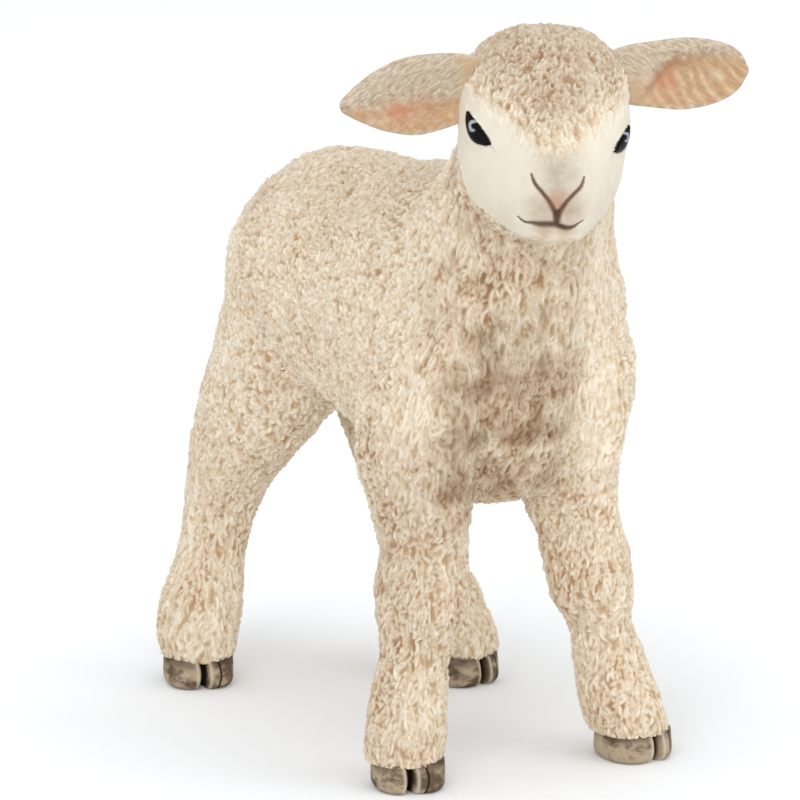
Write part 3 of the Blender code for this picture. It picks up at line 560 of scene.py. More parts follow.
def press_strokes(points, normals, strokes, cell):
    """Ridges over the skin. A stroke is an arc in the plane that touches the skin at its seed, and a
    point's distance from it counts in half widths. Each point belongs to its nearest stroke: it is
    high near that arc, low past 1.6 half widths, and low where the second nearest is as near.
    Gives the height and the nearest stroke's own tone."""
    low = points.min(axis=0) - 2 * cell
    place = ((points - low) / cell).astype(int)
    size = place.max(axis=0) + 4
    key = (place[:, 0] * size[1] + place[:, 1]) * size[2] + place[:, 2]
    order = np.argsort(key, kind="stable")
    key = key[order]
    near_points = points[order].astype(np.float32)
    near_normals = normals[order].astype(np.float32)
    first = np.full(len(points), 9.0, dtype=np.float32)
    second = np.full(len(points), 9.0, dtype=np.float32)
    lift = np.zeros(len(points), dtype=np.float32)
    tone = np.full(len(points), 0.5, dtype=np.float32)
    home = ((strokes["seed"] - low) / cell).astype(int)
    starts, stops = [], []
    for dx in (-1, 0, 1):
        for dy in (-1, 0, 1):
            base = ((home[:, 0] + dx) * size[1] + home[:, 1] + dy) * size[2] + home[:, 2]
            starts.append(np.searchsorted(key, base - 1))
            stops.append(np.searchsorted(key, base + 1, side="right"))
    starts, stops = np.stack(starts, 1), np.stack(stops, 1)
    for i in range(len(home)):
        index = np.concatenate([np.arange(a, b) for a, b in zip(starts[i], stops[i])])
        away = near_points[index] - strokes["seed"][i]
        fall = away @ strokes["normal"][i]
        keep = (np.abs(fall) < cell) & (near_normals[index] @ strokes["normal"][i] > 0.1)
        index, away, fall = index[keep], away[keep], fall[keep]
        along = away @ strokes["along"][i]
        aside = away @ strokes["aside"][i]
        radius = strokes["radius"][i]
        half = strokes["half_length"][i] / radius
        angle = np.clip(np.arctan2(along, radius - aside), -half, half)
        gap = np.hypot(along - radius * np.sin(angle), aside - radius * (1 - np.cos(angle)))
        wide = strokes["half_width"][i] * (1.0 - 0.35 * (angle / half) ** 2)
        near = np.hypot(gap / wide, 1.5 * fall / cell)
        was = first[index]
        closer = near < was
        second[index] = np.where(closer, was, np.minimum(second[index], near))
        first[index] = np.minimum(was, near)
        lift[index[closer]] = strokes["height"][i]
        tone[index[closer]] = strokes["tone"][i]
    ridge = np.maximum(1.0 - (first / 1.6) ** 2, 0.0)
    groove = step_up(second - first, 0.0, 0.9)
    height = np.empty_like(first)
    height[order] = lift * ridge * (0.30 + 0.70 * groove)
    own_tone = np.empty_like(tone)
    own_tone[order] = tone
    return height, own_tone


def lay_strokes(seeds, normals, flow, salt, half_length, half_width, spread, bend):
    """Strokes along a flow on the skin, each turned, bent and sized by chance within given spreads."""
    flow = flow - (flow * normals).sum(axis=1, keepdims=True) * normals
    flow /= np.maximum(np.linalg.norm(flow, axis=1, keepdims=True), 1e-9)
    aside = np.cross(normals, flow)
    turn = (chance(seeds, salt) + chance(seeds, salt + 1) - 1.0) * spread
    along = flow * np.cos(turn)[:, None] + aside * np.sin(turn)[:, None]
    side = np.sign(chance(seeds, salt + 2) - 0.5)
    aside = np.cross(normals, along) * side[:, None]
    length = half_length * (0.65 + 0.7 * chance(seeds, salt + 3))
    bow = bend * (0.3 + 0.9 * chance(seeds, salt + 4))
    return {
        "seed": seeds.astype(np.float32), "normal": normals.astype(np.float32),
        "along": along.astype(np.float32), "aside": aside.astype(np.float32),
        "half_length": length, "radius": length / np.maximum(bow, 0.05),
        "half_width": half_width * (0.8 + 0.4 * chance(seeds, salt + 5)),
        "height": 0.55 + 0.45 * chance(seeds, salt + 6),
        "tone": chance(seeds, salt + 7),
    }


def wool_character(points, normals):
    """What the wool is like at each place: shares of chest, crown, leg and the fine wool low on the leg,
    and the way it flows: down and back, swirling on the trunk, and outwards from the top of the crown."""
    centre, matrix = head_frame(FACE_TURN)
    place = (points - centre) @ matrix
    x, y, z = points.T
    crown = step_up(place @ HEAD_CUT_NORMAL - HEAD_CUT_OFFSET, -1.0, 1.5)
    leg = step_up(-z, -19.0, -13.0)
    fine = step_up(-z, -9.0, -3.0)
    chest = step_up(-y, 8.0, 14.0) * step_up(z, 16.0, 20.0) * (1 - crown)
    chest *= step_up(-normals[:, 1], 0.0, 0.6) * (1 - 0.92 * step_up(x, 3.6, 6.6))
    swirl = np.stack([drift(points, SWIRL_SIZE, salt) for salt in (1.0, 2.0, 3.0)], -1)
    rest = 1.0 - np.maximum(np.maximum(chest, crown), leg)
    flow = np.array((0.0, 0.35, -1.0)) + 0.8 * rest[:, None] * swirl
    from_top = place - np.array((0.0, 2.2, 5.0))
    flow = flow * (1 - crown)[:, None] + crown[:, None] * (from_top @ matrix.T) / 3.0
    return {"chest": chest, "crown": crown, "leg": leg, "fine": fine, "flow": flow}


def one_per_cell(seeds, spacing, salt):
    """Which seeds to keep for an even spread: in each cube of a grid, the one with the lowest draw."""
    cell = np.floor(seeds / spacing).astype(np.int64) + 500
    key = (cell[:, 0] * 1000 + cell[:, 1]) * 1000 + cell[:, 2]
    order = np.lexsort((chance(seeds, salt), key))
    leads = np.ones(len(seeds), dtype=bool)
    leads[1:] = key[order][1:] != key[order][:-1]
    keep = np.zeros(len(seeds), dtype=bool)
    keep[order[leads]] = True
    return keep


def wool_relief(points, normals, seeds, seed_normals):
    """Small curls and larger locks over the skin, from 0 in the hollows to 1 on the ridges, and the
    tone of each stroke. On the chest long thin ridges stand out of low curls; elsewhere the locks
    only swell the curls."""
    at_seeds = wool_character(seeds, seed_normals)

    def chosen(keep):
        """The kept seeds, with their normals and flow."""
        return seeds[keep], seed_normals[keep], at_seeds["flow"][keep]

    curls = one_per_cell(seeds, CURL_SPACING, 40)
    chest, crown, leg, fine = (at_seeds[name][curls] for name in ("chest", "crown", "leg", "fine"))
    strokes = lay_strokes(*chosen(curls), 50, 0.33 + 0.05 * crown + 0.17 * leg,
                          0.125 - 0.03 * leg + 0.005 * fine,
                          1.7 - 0.9 * chest - 1.0 * crown - 0.9 * leg, 1.1 - 0.3 * chest - 0.4 * leg)
    curl, tone = press_strokes(points, normals, strokes, 1.0)
    locks = one_per_cell(seeds, LOCK_SPACING, 41)
    chest, crown, leg = (at_seeds[name][locks] for name in ("chest", "crown", "leg"))
    strokes = lay_strokes(*chosen(locks), 60, 0.70 + 0.50 * chest, 0.34 - 0.22 * chest,
                          1.3 - 0.85 * chest - 0.6 * leg - 0.6 * crown, 0.7 + 0.2 * chest)
    lock, lock_tone = press_strokes(points, normals, strokes, 1.9)
    nature = wool_character(points, normals)
    share = nature["chest"]
    plain = 0.88 * curl + (0.16 + 0.14 * nature["crown"]) * lock
    rough = 0.18 + 0.82 * np.maximum(0.62 * curl, lock)
    tone = np.where((share > 0.4) & (lock > 0.62 * curl), lock_tone, tone)
    return np.clip(plain + share * (rough - plain), 0.0, 1.0), tone


def cap_holes(points, quads, normals):
    """Close every open rim of a cut piece: a skirt straight down into the body, then a fan to the rim's
    middle. An open edge's follower starts where it ends, and edges that follow each other round share
    the lowest number among them. Gives all points, where each took its values from, quads and triangles."""
    here = quads.ravel().astype(np.int64)
    there = np.roll(quads, -1, axis=1).ravel().astype(np.int64)
    is_open = ~np.isin(here * len(points) + there, there * len(points) + here)
    start, end = there[is_open], here[is_open]
    number = np.arange(len(start))
    follow = np.empty(len(start), dtype=np.int64)
    follow[np.argsort(end, kind="stable")] = np.argsort(start, kind="stable")
    lowest, jump = number, follow
    for _ in range(len(start).bit_length()):
        lowest = np.minimum(lowest, lowest[jump])
        jump = jump[jump]
    first, rim = np.unique(lowest, return_inverse=True)
    sunk = points[start] - normals[start] * CAP_SINK
    middle = np.stack([np.bincount(rim, sunk[:, k]) / np.bincount(rim) for k in range(3)], -1)
    ring = len(points) + number
    skirt = np.stack((start, end, ring[follow], ring), -1)
    fan = np.stack((ring, ring[follow], len(points) + len(start) + rim), -1)
    source = np.concatenate((np.arange(len(points)), start, start[first]))
    return np.concatenate((points, sunk, middle)), source, np.concatenate((quads, skirt)), fan


def part_of(points, quads, keep, values):
    """The faces that are kept, with closed cuts, as a shape and its attributes."""
    used, faces = np.unique(quads[keep], return_inverse=True)
    own, source, faces, tris = cap_holes(points[used], faces.reshape(-1, 4), values["normal"][used])
    return (own, faces, tris), {name: value[used][source] for name, value in values.items()}


def make_piece(name, node, slot, shape, values):
    """A finished piece at the origin in its slot's paint, with its attributes, in place of a CAD node."""
    mesh = write_mesh(name, *shape, MM)
    for key, value in values.items():
        if key == "normal":
            continue
        value = np.asarray(value, dtype=np.float32)
        layer = mesh.attributes.new(key, "FLOAT" if value.ndim == 1 else "FLOAT_VECTOR", "POINT")
        layer.data.foreach_set("value" if value.ndim == 1 else "vector", value.ravel())
    if "normal" in values:
        mesh.normals_split_custom_set_from_vertices(values["normal"].tolist())
    mesh.materials.append(PAINTS[slot])
    piece = bpy.data.objects.new(name, mesh)
    bpy.context.scene.collection.objects.link(piece)
    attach(piece, "root")
    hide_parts(node)


def merge(shells):
    """Several shells as one set of points, quads and triangles."""
    points, quads, tris = [], [], []
    total = 0
    for own_points, own_quads, own_tris in shells:
        points.append(own_points)
        quads.append(own_quads + total)
        tris.append(own_tris + total)
        total += len(own_points)
    return np.concatenate(points), np.concatenate(quads), np.concatenate(tris)


def pushed(points):
    """Points moved by every push, each fading as a bell curve of the distance from its place."""
    total = np.zeros_like(points)
    for place, reach, shift in PUSHES:
        total += bell(points, place, reach)[:, None] * np.array(shift)
    return points + total


def build_skin():
    """Trunk, neck, head and legs fused on a voxel grid, eased at the joins and refined twice.
    Gives the fine skin, and a seed with its normal near the middle of each coarse face."""
    shells = [shell(body_rings()), shell(neck_rings()), shell(head_rings())]
    shells += [shell(leg_rings(*facts)) for facts in LEGS.values()]
    points, quads = through_modifier(*merge(shells), "REMESH", mode="VOXEL", voxel_size=SKIN_VOXEL)
    points = pushed(eased(points, quads, SKIN_ROUNDS))
    normals = face_normals(points, quads, NO_TRIS)
    seeds = points[quads].mean(axis=1)
    seed_normals = normals[quads].mean(axis=1)
    seed_normals /= np.linalg.norm(seed_normals, axis=1, keepdims=True)
    jitter = np.stack([chance(seeds, salt) - 0.5 for salt in (10, 11, 12)], -1) * SEED_JITTER
    jitter -= (jitter * seed_normals).sum(axis=1, keepdims=True) * seed_normals
    fine = through_modifier(points, quads, NO_TRIS, "SUBSURF", levels=2, render_levels=2)
    return fine, seeds + jitter, seed_normals


def sculpt_face(place):
    """How far the bare face stands out or in, in millimetres, at places in the face's frame."""
    x, y, z = place.T
    front = step_up(-y, 5.0, 6.5)
    rise = -0.08 * front * np.exp(-(line_distance(np.abs(x), z, NOSE_ARM) / 0.15) ** 2)
    rise -= 0.07 * front * np.exp(-(line_distance(x, z, NOSE_STEM) / 0.17) ** 2)
    rise -= 0.10 * front * np.exp(-(line_distance(x, z, MOUTH_LINE) / 0.17) ** 2)
    # nostril wings and the pad between them, the lips, and the fold over the chin
    rise += 0.12 * front * np.exp(-((np.abs(x) - 1.75) / 0.55) ** 2 - ((z + 3.5) / 0.8) ** 2)
    rise += 0.10 * front * np.exp(-((np.abs(x) - 0.95) / 0.7) ** 2 - ((z + 5.15) / 0.42) ** 2)
    rise -= 0.08 * front * np.exp(-(x / 1.6) ** 2 - ((z + 6.15) / 0.22) ** 2)
    # sockets, the lids round them and the brow over them
    side = step_up(np.abs(x), 2.2, 3.0)
    t, r = (np.where(x < 0, a, b) for a, b in zip(almond(y, z, "right"), almond(y, z, "left")))
    reach = np.maximum(np.abs(t), np.abs(r))
    rise -= 0.30 * side * (1 - step_up(reach, 0.80, 1.02))
    rim = step_up(reach, 0.98, 1.12) * (1 - step_up(reach, 1.25, 1.75))
    rise += 0.10 * side * rim * (np.abs(t) < 1.6)
    rise += 0.14 * side * np.exp(-((y + 3.3) / 1.5) ** 2 - ((z - 0.35) / 0.6) ** 2)
    return rise


def paint_shares(points, normals, nature, edge, on_head):
    """How much tan wash and grey the wool holds: more on the breast in patches, on the crown behind
    the fringe, at the leg tops and on the lower legs; less on the neck's right side and the fringe. The grey
    is dust, and painted shade on the lower breast under the head and on the top of the back. With the tan,
    it is also painted shade at the front legs' tops, where they meet the chest."""
    x, y, z = points.T
    chest, crown, leg = nature["chest"], nature["crown"], nature["leg"]
    breast = chest * (1 - step_up(np.abs(x + 2.6), 3.0, 6.4)) * (0.92 + 0.55 * drift(points, 1.0, 8.3))
    shoulder = (1 - crown) * step_up(x, 2.4, 5.0) * step_up(z, 19.0, 24.0)
    # painted shade: grey on the upward-facing top of the back
    back = (1 - crown) * step_up(normals[:, 2], 0.3, 0.9) * step_up(z, 26.0, 32.0)
    # painted shade where the front legs meet the chest: tan and grey at their tops
    right_leg_top = bell(points, (-7.5, -14.5, 19.0), 5.0)
    left_leg_top = bell(points, (3.5, -14.5, 17.0), 3.0)
    neck_side = bell(points, (-6.5, -11.4, 33.7), 4.5)
    tan = 1.15 * breast + 0.15 * shoulder + 0.42 * right_leg_top + 0.30 * left_leg_top - 0.40 * neck_side
    tan += 0.50 * crown * step_up(edge, 0.2, 2.2) + 0.28 * leg * (1 - 0.6 * (y > 0))
    tan -= 0.5 * on_head * (1 - step_up(edge, 0.0, 1.4))
    # grey: painted shade on the lower breast under the head, and grey on the crown behind the fringe
    dust_and_shade = 0.60 * breast * (1 - 0.6 * step_up(z, 27.0, 32.0)) + 0.42 * crown * step_up(edge, 0.4, 3.4)
    dust_and_shade += 0.12 * leg * (x < 0) * (y < 0) + 0.26 * right_leg_top + 0.16 * back
    return tan, dust_and_shade


def dress_skin():
    """The skin with its wool pressed out and its face carved: points, quads and attributes."""
    (points, quads), seeds, seed_normals = build_skin()
    normals = face_normals(points, quads, NO_TRIS)
    centre, matrix = head_frame(FACE_TURN)

    def head_share(spots):
        """Places in the face's frame, and how much each belongs to the head's own surface."""
        place = (spots - centre) @ matrix
        ahead = place @ HEAD_CUT_NORMAL > HEAD_CUT_OFFSET
        return place, (1 - step_up(head_ratio(place), 1.03, 1.09)) * ahead

    place, on_head = head_share(points)
    edge = np.where(on_head > 0, wool_edge(place), 9.0)
    seed_place, seed_head = head_share(seeds)
    keep = np.where(seed_head > 0, wool_edge(seed_place), 9.0) > 0.0
    relief, tone = wool_relief(points, normals, seeds[keep], seed_normals[keep])

    nature = wool_character(points, normals)
    wool = 1 - on_head * (1 - step_up(edge, -0.25, 0.55))
    grown = step_up(edge, -0.65, 0.05) * (0.45 + 0.55 * step_up(edge, 0.0, 1.5))
    relief = eased(relief * np.maximum(1 - on_head, grown), quads, 1)
    depth = WOOL_DEPTH + 0.03 * nature["chest"] - 0.06 * nature["leg"] - 0.04 * nature["fine"]
    swell = 0.07 * drift(points, 2.4, 5.0) + 0.08 * drift(points, 1.0, 6.0) + 0.05 * nature["leg"]
    out = depth * relief + wool * (swell - WOOL_SINK) + sculpt_face(place) * on_head * (1 - wool)
    points = points + normals * out[:, None]
    # the wool ends level over each hoof: what would reach lower is pressed up to a thin rim
    height = points[:, 2]
    points[:, 2] = np.where(height < WOOL_END, WOOL_END + 0.05 * (height - WOOL_END), height)
    tan, dust_and_shade = paint_shares(points, normals, nature, edge, on_head)
    bare = on_head * (1 - step_up(edge + 0.9 * (relief - 0.32), -0.20, 0.85))
    return points, quads, {"relief": relief, "bare": bare, "tan": tan, "dust_and_shade": dust_and_shade, "tone": tone,
                           "face_place": place, "normal": face_normals(points, quads, NO_TRIS)}


def skin_pieces():
    """The skin cut into the pieces that stand for the CAD nodes."""
    points, quads, values = dress_skin()
    middle = points[quads].mean(axis=1)
    centre, matrix = head_frame(FACE_TURN)
    head = ((middle - centre) @ matrix) @ HEAD_CUT_NORMAL > HEAD_CUT_OFFSET
    low = (middle[:, 2] < SEAM_HEIGHT) & ~head
    trunk = ~head & ~low
    along = np.searchsorted(TRUNK_CUTS, middle[:, 1])
    raised = middle[:, 2] > TRUNK_LEVEL
    for part, keep in (
        ("wool_chest", (along == 0) & ~raised), ("wool_neck", (along == 0) & raised),
        ("wool_ribs", along == 1), ("wool_flanks", along == 2),
        ("wool_thighs", (along == 3) & ~raised), ("wool_rump", (along == 3) & raised),
    ):
        make_piece(part, "torso", "wool", *part_of(points, quads, keep & trunk, values))
    make_piece("face_and_crown", "head", "face", *part_of(points, quads, head, values))
    for name in LEGS:
        ahead = middle[:, 1] < 0 if name.startswith("front") else middle[:, 1] >= 0
        aside = middle[:, 0] < 0 if name.endswith("right") else middle[:, 0] >= 0
        make_piece("wool_" + name + "_leg", name + "_leg", "wool",
                   *part_of(points, quads, low & ahead & aside, values))


def ear_shape(side, count=120, sides=116):
    """A cupped leaf out along +X: flat ellipses whose rim bends forward by the square of the place
    across. The front is dipped in the hollow, fine sine waves along a slanted run raise hairs and folds,
    and the leaf is lifted, swept and set on the skull. Gives the shape and its paint's shares."""
    ear = EARS[side]
    rows = smooth_rows(ear["outline"], count)
    across, thick = section(sides)
    s = np.broadcast_to(rows[:, 0:1], (count, sides))
    c = np.broadcast_to(across, s.shape)
    x = s * (EAR_LENGTH + ear["extra"]) - EAR_ROOT
    y = rows[:, 2:3] * EAR_THICKNESS / 2 * thick - EAR_CUP * (across * rows[:, 1:2]) ** 2
    z = rows[:, 1:2] * EAR_WIDTH / 2 * across
    flat = np.stack([x, y, z], -1)
    # the painted hollow and what lies along its upper edge
    front = step_up(-thick, 0.05, 0.55) * np.ones_like(s)
    limit = np.interp(s, *ear["edge"]) + 0.07 * np.sin(s * 31.0) + 0.05 * np.sin(s * 74.0 + c * 5.0)
    hollow = front * (1 - step_up(c - limit, -0.26, 0.20)) * step_up(s, 0.10, 0.22)
    place, level, reach, spread = ear["blush"]
    blush = hollow * np.exp(-((s - place) / reach) ** 2 - ((c - level) / spread) ** 2)
    fringe = front * np.exp(-((c - limit - 0.14) / 0.20) ** 2) * step_up(s, 0.20, 0.35)
    shade = front * np.exp(-((c - limit + 0.12) / 0.15) ** 2) * ear["shade"]
    shade = shade * step_up(s, 0.20, 0.30) * (1 - step_up(s, 0.5, 0.7))
    near, far, faded = ear["root"]
    root = (1 - step_up(s, near, far)) * (1 - faded * step_up(c, -0.4, 0.3))
    # hairs all over, and folds: strong in the left ear's hollow, faint on the right ear's lower half
    wander = drift(flat.reshape(-1, 3), 1.6, 7.0).reshape(s.shape)
    fleck = drift(flat.reshape(-1, 3), 0.30, 9.0).reshape(s.shape)
    run = 2 * np.pi * (s * EAR_LENGTH + ear["slant"] * c)
    hairs = np.sin(run / 0.32 + 4.0 * wander + 2.4 * fleck)
    wave = 0.5 + 0.5 * np.sin(run / 0.90 + 1.8 * wander)
    folds = (2.5 * wave ** 2.2 - 0.8) * (0.6 + 0.4 * fleck) * (1 - 0.6 * step_up(c, -0.1, 0.4))
    if side == "right":
        dip = np.exp(-(np.abs(c + 0.2) / 0.62) ** 4) * step_up(s, 0.10, 0.30) * (1 - step_up(s, 0.78, 0.97))
        ridged = 0.15 * step_up(-c, 0.0, 0.4)
    else:
        dip = step_up(limit - c, -0.05, 0.40) * step_up(c, -0.98, -0.55) * (1 - step_up(s, 0.84, 0.98))
        ridged = step_up(limit - c, 0.1, 0.5)
    streaks = ridged * folds + (1 - 0.6 * ridged) * (0.40 * hairs + 0.45 * fleck)
    body = step_up(s, 0.06, 0.2) * (1 - step_up(s, 0.9, 0.99))
    flat[:, :, 1] += EAR_DIP * front * dip * rows[:, 2:3]
    flat[:, :, 1] += STREAK_HEIGHT * np.sign(thick) * streaks * body * np.abs(thick)
    mirror = np.array((-1.0 if side == "right" else 1.0, 1.0, 1.0))
    seat = np.array(Euler((0.0, radians(-ear["lift"]), radians(EAR_SWEEP)), "XYZ").to_matrix())
    centre, matrix = head_frame(SKULL_TURN)
    foot = np.array(EAR_SEAT) + (0.0, 0.0, ear["rise"])
    rings = (flat @ seat.T + foot) * mirror @ matrix.T + centre
    back = np.broadcast_to(thick > 0, s.shape)
    values = {"hollow": hollow, "relief": 0.5 + 0.30 * streaks, "root": root, "shade": shade, "front": front,
              "blush": blush, "fringe": fringe,
              "leaf": np.stack([s * EAR_LENGTH / 0.50, z / 0.17 + 28.0 * s, back], -1)}
    return shell(rings), {name: on_points(grid) for name, grid in values.items()}


def eye_shape(side, count=90, sides=72):
    """An almond on the cheek: along its axis, a ring that bulges out in front and sinks in behind by the
    root of its width. The glint is a hook: a ring of a given radius, open towards the nose."""
    t = -np.cos(np.linspace(0.0, np.pi, count))[:, None]
    across, out = section(sides)
    bow = almond_bow(t, 0.0)
    middle_y, middle_z, size = EYES[side]
    b = size * bow * np.where(across > 0, EYE_BELOW, EYE_ABOVE) * across
    a = np.broadcast_to(size * t * EYE_HALF, b.shape)
    y = middle_y + a * EYE_AXIS[0] - b * EYE_AXIS[1]
    z = middle_z + a * EYE_AXIS[1] + b * EYE_AXIS[0]
    swell = np.sqrt(np.clip(bow, 0.0, 1.0))
    x = cheek(y, z) - EYE_SINK * swell + np.where(out > 0, *EYE_BULGE) * out * swell
    glint_y, glint_z = (y - middle_y) / size - GLINT_ASIDE[0], (z - middle_z) / size - GLINT_ASIDE[1]
    angle = np.abs(np.arctan2(glint_z, -glint_y))
    thick = GLINT_HALF * (0.55 + 0.45 * step_up(angle, 1.2, 2.4))
    off = np.abs(np.hypot(glint_y, glint_z) - GLINT_RADIUS) / thick
    glint = (1 - step_up(off, 0.6, 1.3)) * step_up(angle, 0.7, 1.2) * (out > 0.05)
    rings = np.stack([x, y, z], -1) * np.array((-1.0 if side == "right" else 1.0, 1.0, 1.0))
    centre, matrix = head_frame(FACE_TURN)
    return shell(rings @ matrix.T + centre), {"glint": on_points(glint)}


def hoof_shape(foot, toe_out, split, count=30, sides=340):
    """Level superellipses from the sole up. The toe's wall sinks in a wide groove between two rounded
    toes: a bell curve of the distance from the middle line, then turned with the toe."""
    rows = smooth_rows(HOOF_SHARES, count)
    across, along = section(sides, HOOF_POWER)
    height = rows[:, 0:1]
    x = rows[:, 1:2] * HOOF_WIDTH / 2 * across
    y = rows[:, 2:3] * HOOF_LENGTH / 2 * along
    z = np.broadcast_to(height * HOOF_HEIGHT, x.shape)
    toe = step_up(-along, 0.35, 0.95) * np.ones_like(x)
    off = x - split - 0.14 * np.sin(np.pi * height)
    cleft = toe * np.exp(-(np.abs(off) / (0.24 - 0.05 * height)) ** 2.6)
    crease = toe * np.exp(-((off - 1.0 - 0.10 * np.sin(3.0 * height)) / 0.09) ** 2)
    lobes = toe * np.exp(-(x / 0.75) ** 2)
    heel = step_up(along, 0.6, 1.0) * np.exp(-(x / 0.5) ** 2)
    y = y + CLEFT_DEPTH * cleft + 0.22 * lobes - 0.25 * heel + 0.16 * crease
    rim = toe * np.exp(-((np.abs(off) - 0.44) / 0.12) ** 2)
    # the sole's rim is rounded: the lowest rings draw in by a quarter circle
    low = np.clip(1 - z / SOLE_ROUND, 0.0, 1.0)
    draw = 1 - 0.10 * (1 - np.sqrt(1 - low ** 2))
    turn = radians(toe_out)
    x, y = x * draw, y * draw
    x, y = x * cos(turn) - y * sin(turn) + foot[0], x * sin(turn) + y * cos(turn) + foot[1]
    rings = np.stack([x, y, z], -1)
    return shell(rings + SHIFT), {"cleft": on_points(np.maximum(cleft, 0.8 * crease), False),
                                  "rim": on_points(rim, False)}


def tail_shape(count=190, sides=120):
    """Level ellipses down the tail, with wool pressed out of them."""
    rows = smooth_rows(TAIL_SHARES, count)
    across, along = section(sides)
    x = rows[:, 2:3] * TAIL_WIDTH / 2 * across
    y = RUMP_Y - TAIL_DEPTH / 2 + rows[:, 1:2] * TAIL_HANG + rows[:, 3:4] * TAIL_DEPTH / 2 * along
    z = np.broadcast_to(TAIL_ROOT_HEIGHT - rows[:, 0:1] * TAIL_LENGTH, x.shape)
    points, quads, tris = shell(np.stack([x, y, z], -1) + SHIFT)
    normals = face_normals(points, quads, tris)
    pick = one_per_cell(points, CURL_SPACING, 70)
    seeds, seed_normals = points[pick], normals[pick]
    down = np.tile((0.0, 0.0, -1.0), (len(seeds), 1))
    strokes = lay_strokes(seeds, seed_normals, down, 72, 0.42, 0.125, 1.1, 0.8)
    curls, tone = press_strokes(points, normals, strokes, 1.0)
    big = one_per_cell(seeds, LOCK_SPACING, 80)
    strokes = lay_strokes(seeds[big], seed_normals[big], down[big], 82, 1.0, 0.36, 0.8, 0.6)
    locks, _ = press_strokes(points, normals, strokes, 1.7)
    relief = np.clip(0.8 * curls + 0.2 * locks, 0.0, 1.0)
    points = points + normals * (TAIL_WOOL_DEPTH * relief - TAIL_WOOL_SINK)[:, None]
    return (points, quads, tris), {"relief": relief, "tone": tone, "tan": np.full(len(points), 0.25),
                                    "dust_and_shade": np.full(len(points), 0.1)}


def paint_colour(red, green, blue):
    """A colour written as on screen, 0 to 255, as the linear four numbers that a socket takes."""
    share = np.array((red, green, blue)) / 255.0
    linear = np.where(share <= 0.04045, share / 12.92, ((share + 0.055) / 1.055) ** 2.4)
    return (*[float(v) for v in linear], 1.0)


class Nodes:
    """A node tree that is built one line a node, from numbers and links."""

    def __init__(self, tree):
        """Start from a tree."""
        self.tree = tree

    def add(self, kind, inputs=None, **settings):
        """A node with its settings and inputs, these by name or number."""
        node = self.tree.nodes.new(kind)
        for key, value in settings.items():
            setattr(node, key, value)
        for key, value in (inputs or {}).items():
            if isinstance(value, bpy.types.NodeSocket):
                self.tree.links.new(value, node.inputs[key])
            else:
                node.inputs[key].default_value = value
        return node

    def maths(self, operation, *values):
        """One step of arithmetic."""
        return self.add("ShaderNodeMath", dict(enumerate(values)), operation=operation).outputs[0]

    def times(self, first, second):
        """Two values multiplied."""
        return self.maths("MULTIPLY", first, second)

    def mix(self, share, first, second, blend="MIX"):
        """A share of the second colour over the first. Three numbers are a colour as on screen."""
        first, second = (paint_colour(*c) if isinstance(c, tuple) and len(c) == 3 else c
                         for c in (first, second))
        return self.add("ShaderNodeMix", {0: share, 6: first, 7: second}, data_type="RGBA",
                        blend_type=blend).outputs[2]

    def ease(self, value, low, high, to_low=0.0, to_high=1.0):
        """A smooth step from one value to another."""
        return self.add("ShaderNodeMapRange", {"Value": value, "From Min": low, "From Max": high,
                                               "To Min": to_low, "To Max": to_high},
                        interpolation_type="SMOOTHSTEP").outputs[0]

    def noise(self, place, scale, detail=3.0, roughness=0.55):
        """Noise from 0 to 1 at a place."""
        return self.add("ShaderNodeTexNoise", {"Vector": place, "Scale": scale, "Detail": detail,
                                               "Roughness": roughness}).outputs["Fac"]

    def attribute(self, name, output="Fac"):
        """A piece's attribute."""
        return self.add("ShaderNodeAttribute", attribute_name=name).outputs[output]

    def centred(self, value):
        """A value from 0 to 1 less a half."""
        return self.maths("SUBTRACT", value, 0.5)


def new_group(name, inputs, outputs):
    """A shader node group with named inputs and outputs, and its builder."""
    tree = bpy.data.node_groups.new(name, "ShaderNodeTree")
    for label, kind, default in inputs:
        socket = tree.interface.new_socket(label, in_out="INPUT", socket_type="NodeSocket" + kind)
        if default is not None:
            socket.default_value = default
    for label, kind in outputs:
        tree.interface.new_socket(label, in_out="OUTPUT", socket_type="NodeSocket" + kind)
    build = Nodes(tree)
    return build, build.add("NodeGroupInput").outputs, build.add("NodeGroupOutput").inputs


def make_wool_group():
    """Wool paint: cream on the ridges, tan wash in the hollows, warmer and deeper in patches. Tone
    tells one curl from the next, and Tan says how much of the wash has stayed on, in places as painted shade.
    Dust_And_Shade greys it with dust and with painted shade."""
    build, given, result = new_group(
        "painted_wool", [("Place", "Vector", None), ("Relief", "Float", 0.5), ("Tone", "Float", 0.5),
                         ("Tan", "Float", 0.0), ("Dust_And_Shade", "Float", 0.0)],
        [("Color", "Color"), ("Height", "Float")])
    place = given["Place"]
    patch = build.centred(build.noise(place, 260.0, 2.0))
    speckle = build.centred(build.noise(place, 1500.0, 3.0))
    drawn = build.add("ShaderNodeMapping", {"Vector": place, "Scale": (1.0, 1.0, 0.45)}).outputs[0]
    strand = build.centred(build.noise(drawn, 3000.0, 2.0))
    own = build.centred(given["Tone"])
    wash = given["Relief"]
    for value, share in ((speckle, 0.40), (patch, -0.50), (strand, 0.75), (own, 0.18), (given["Tan"], -0.20)):
        wash = build.maths("MULTIPLY_ADD", value, share, wash)
    warmth = build.maths("MULTIPLY_ADD", given["Tan"], 0.07, patch)
    hollow = build.mix(build.ease(warmth, 0.0, 0.14), (196, 168, 134), (180, 142, 106))
    middle = build.mix(build.ease(wash, -0.05, 0.42), hollow, (226, 207, 180))
    high = build.mix(build.ease(own, 0.05, 0.40), (249, 238, 219), (240, 231, 214))
    colour = build.mix(build.ease(wash, 0.32, 0.82), middle, high)
    # greying by dust, and painted shade where the skin's dust_and_shade share puts it
    colour = build.mix(given["Dust_And_Shade"], colour, (184, 172, 158), "MULTIPLY")
    build.tree.links.new(colour, result["Color"])
    build.tree.links.new(build.noise(place, 5200.0, 4.0, 0.65), result["Height"])
    return build.tree


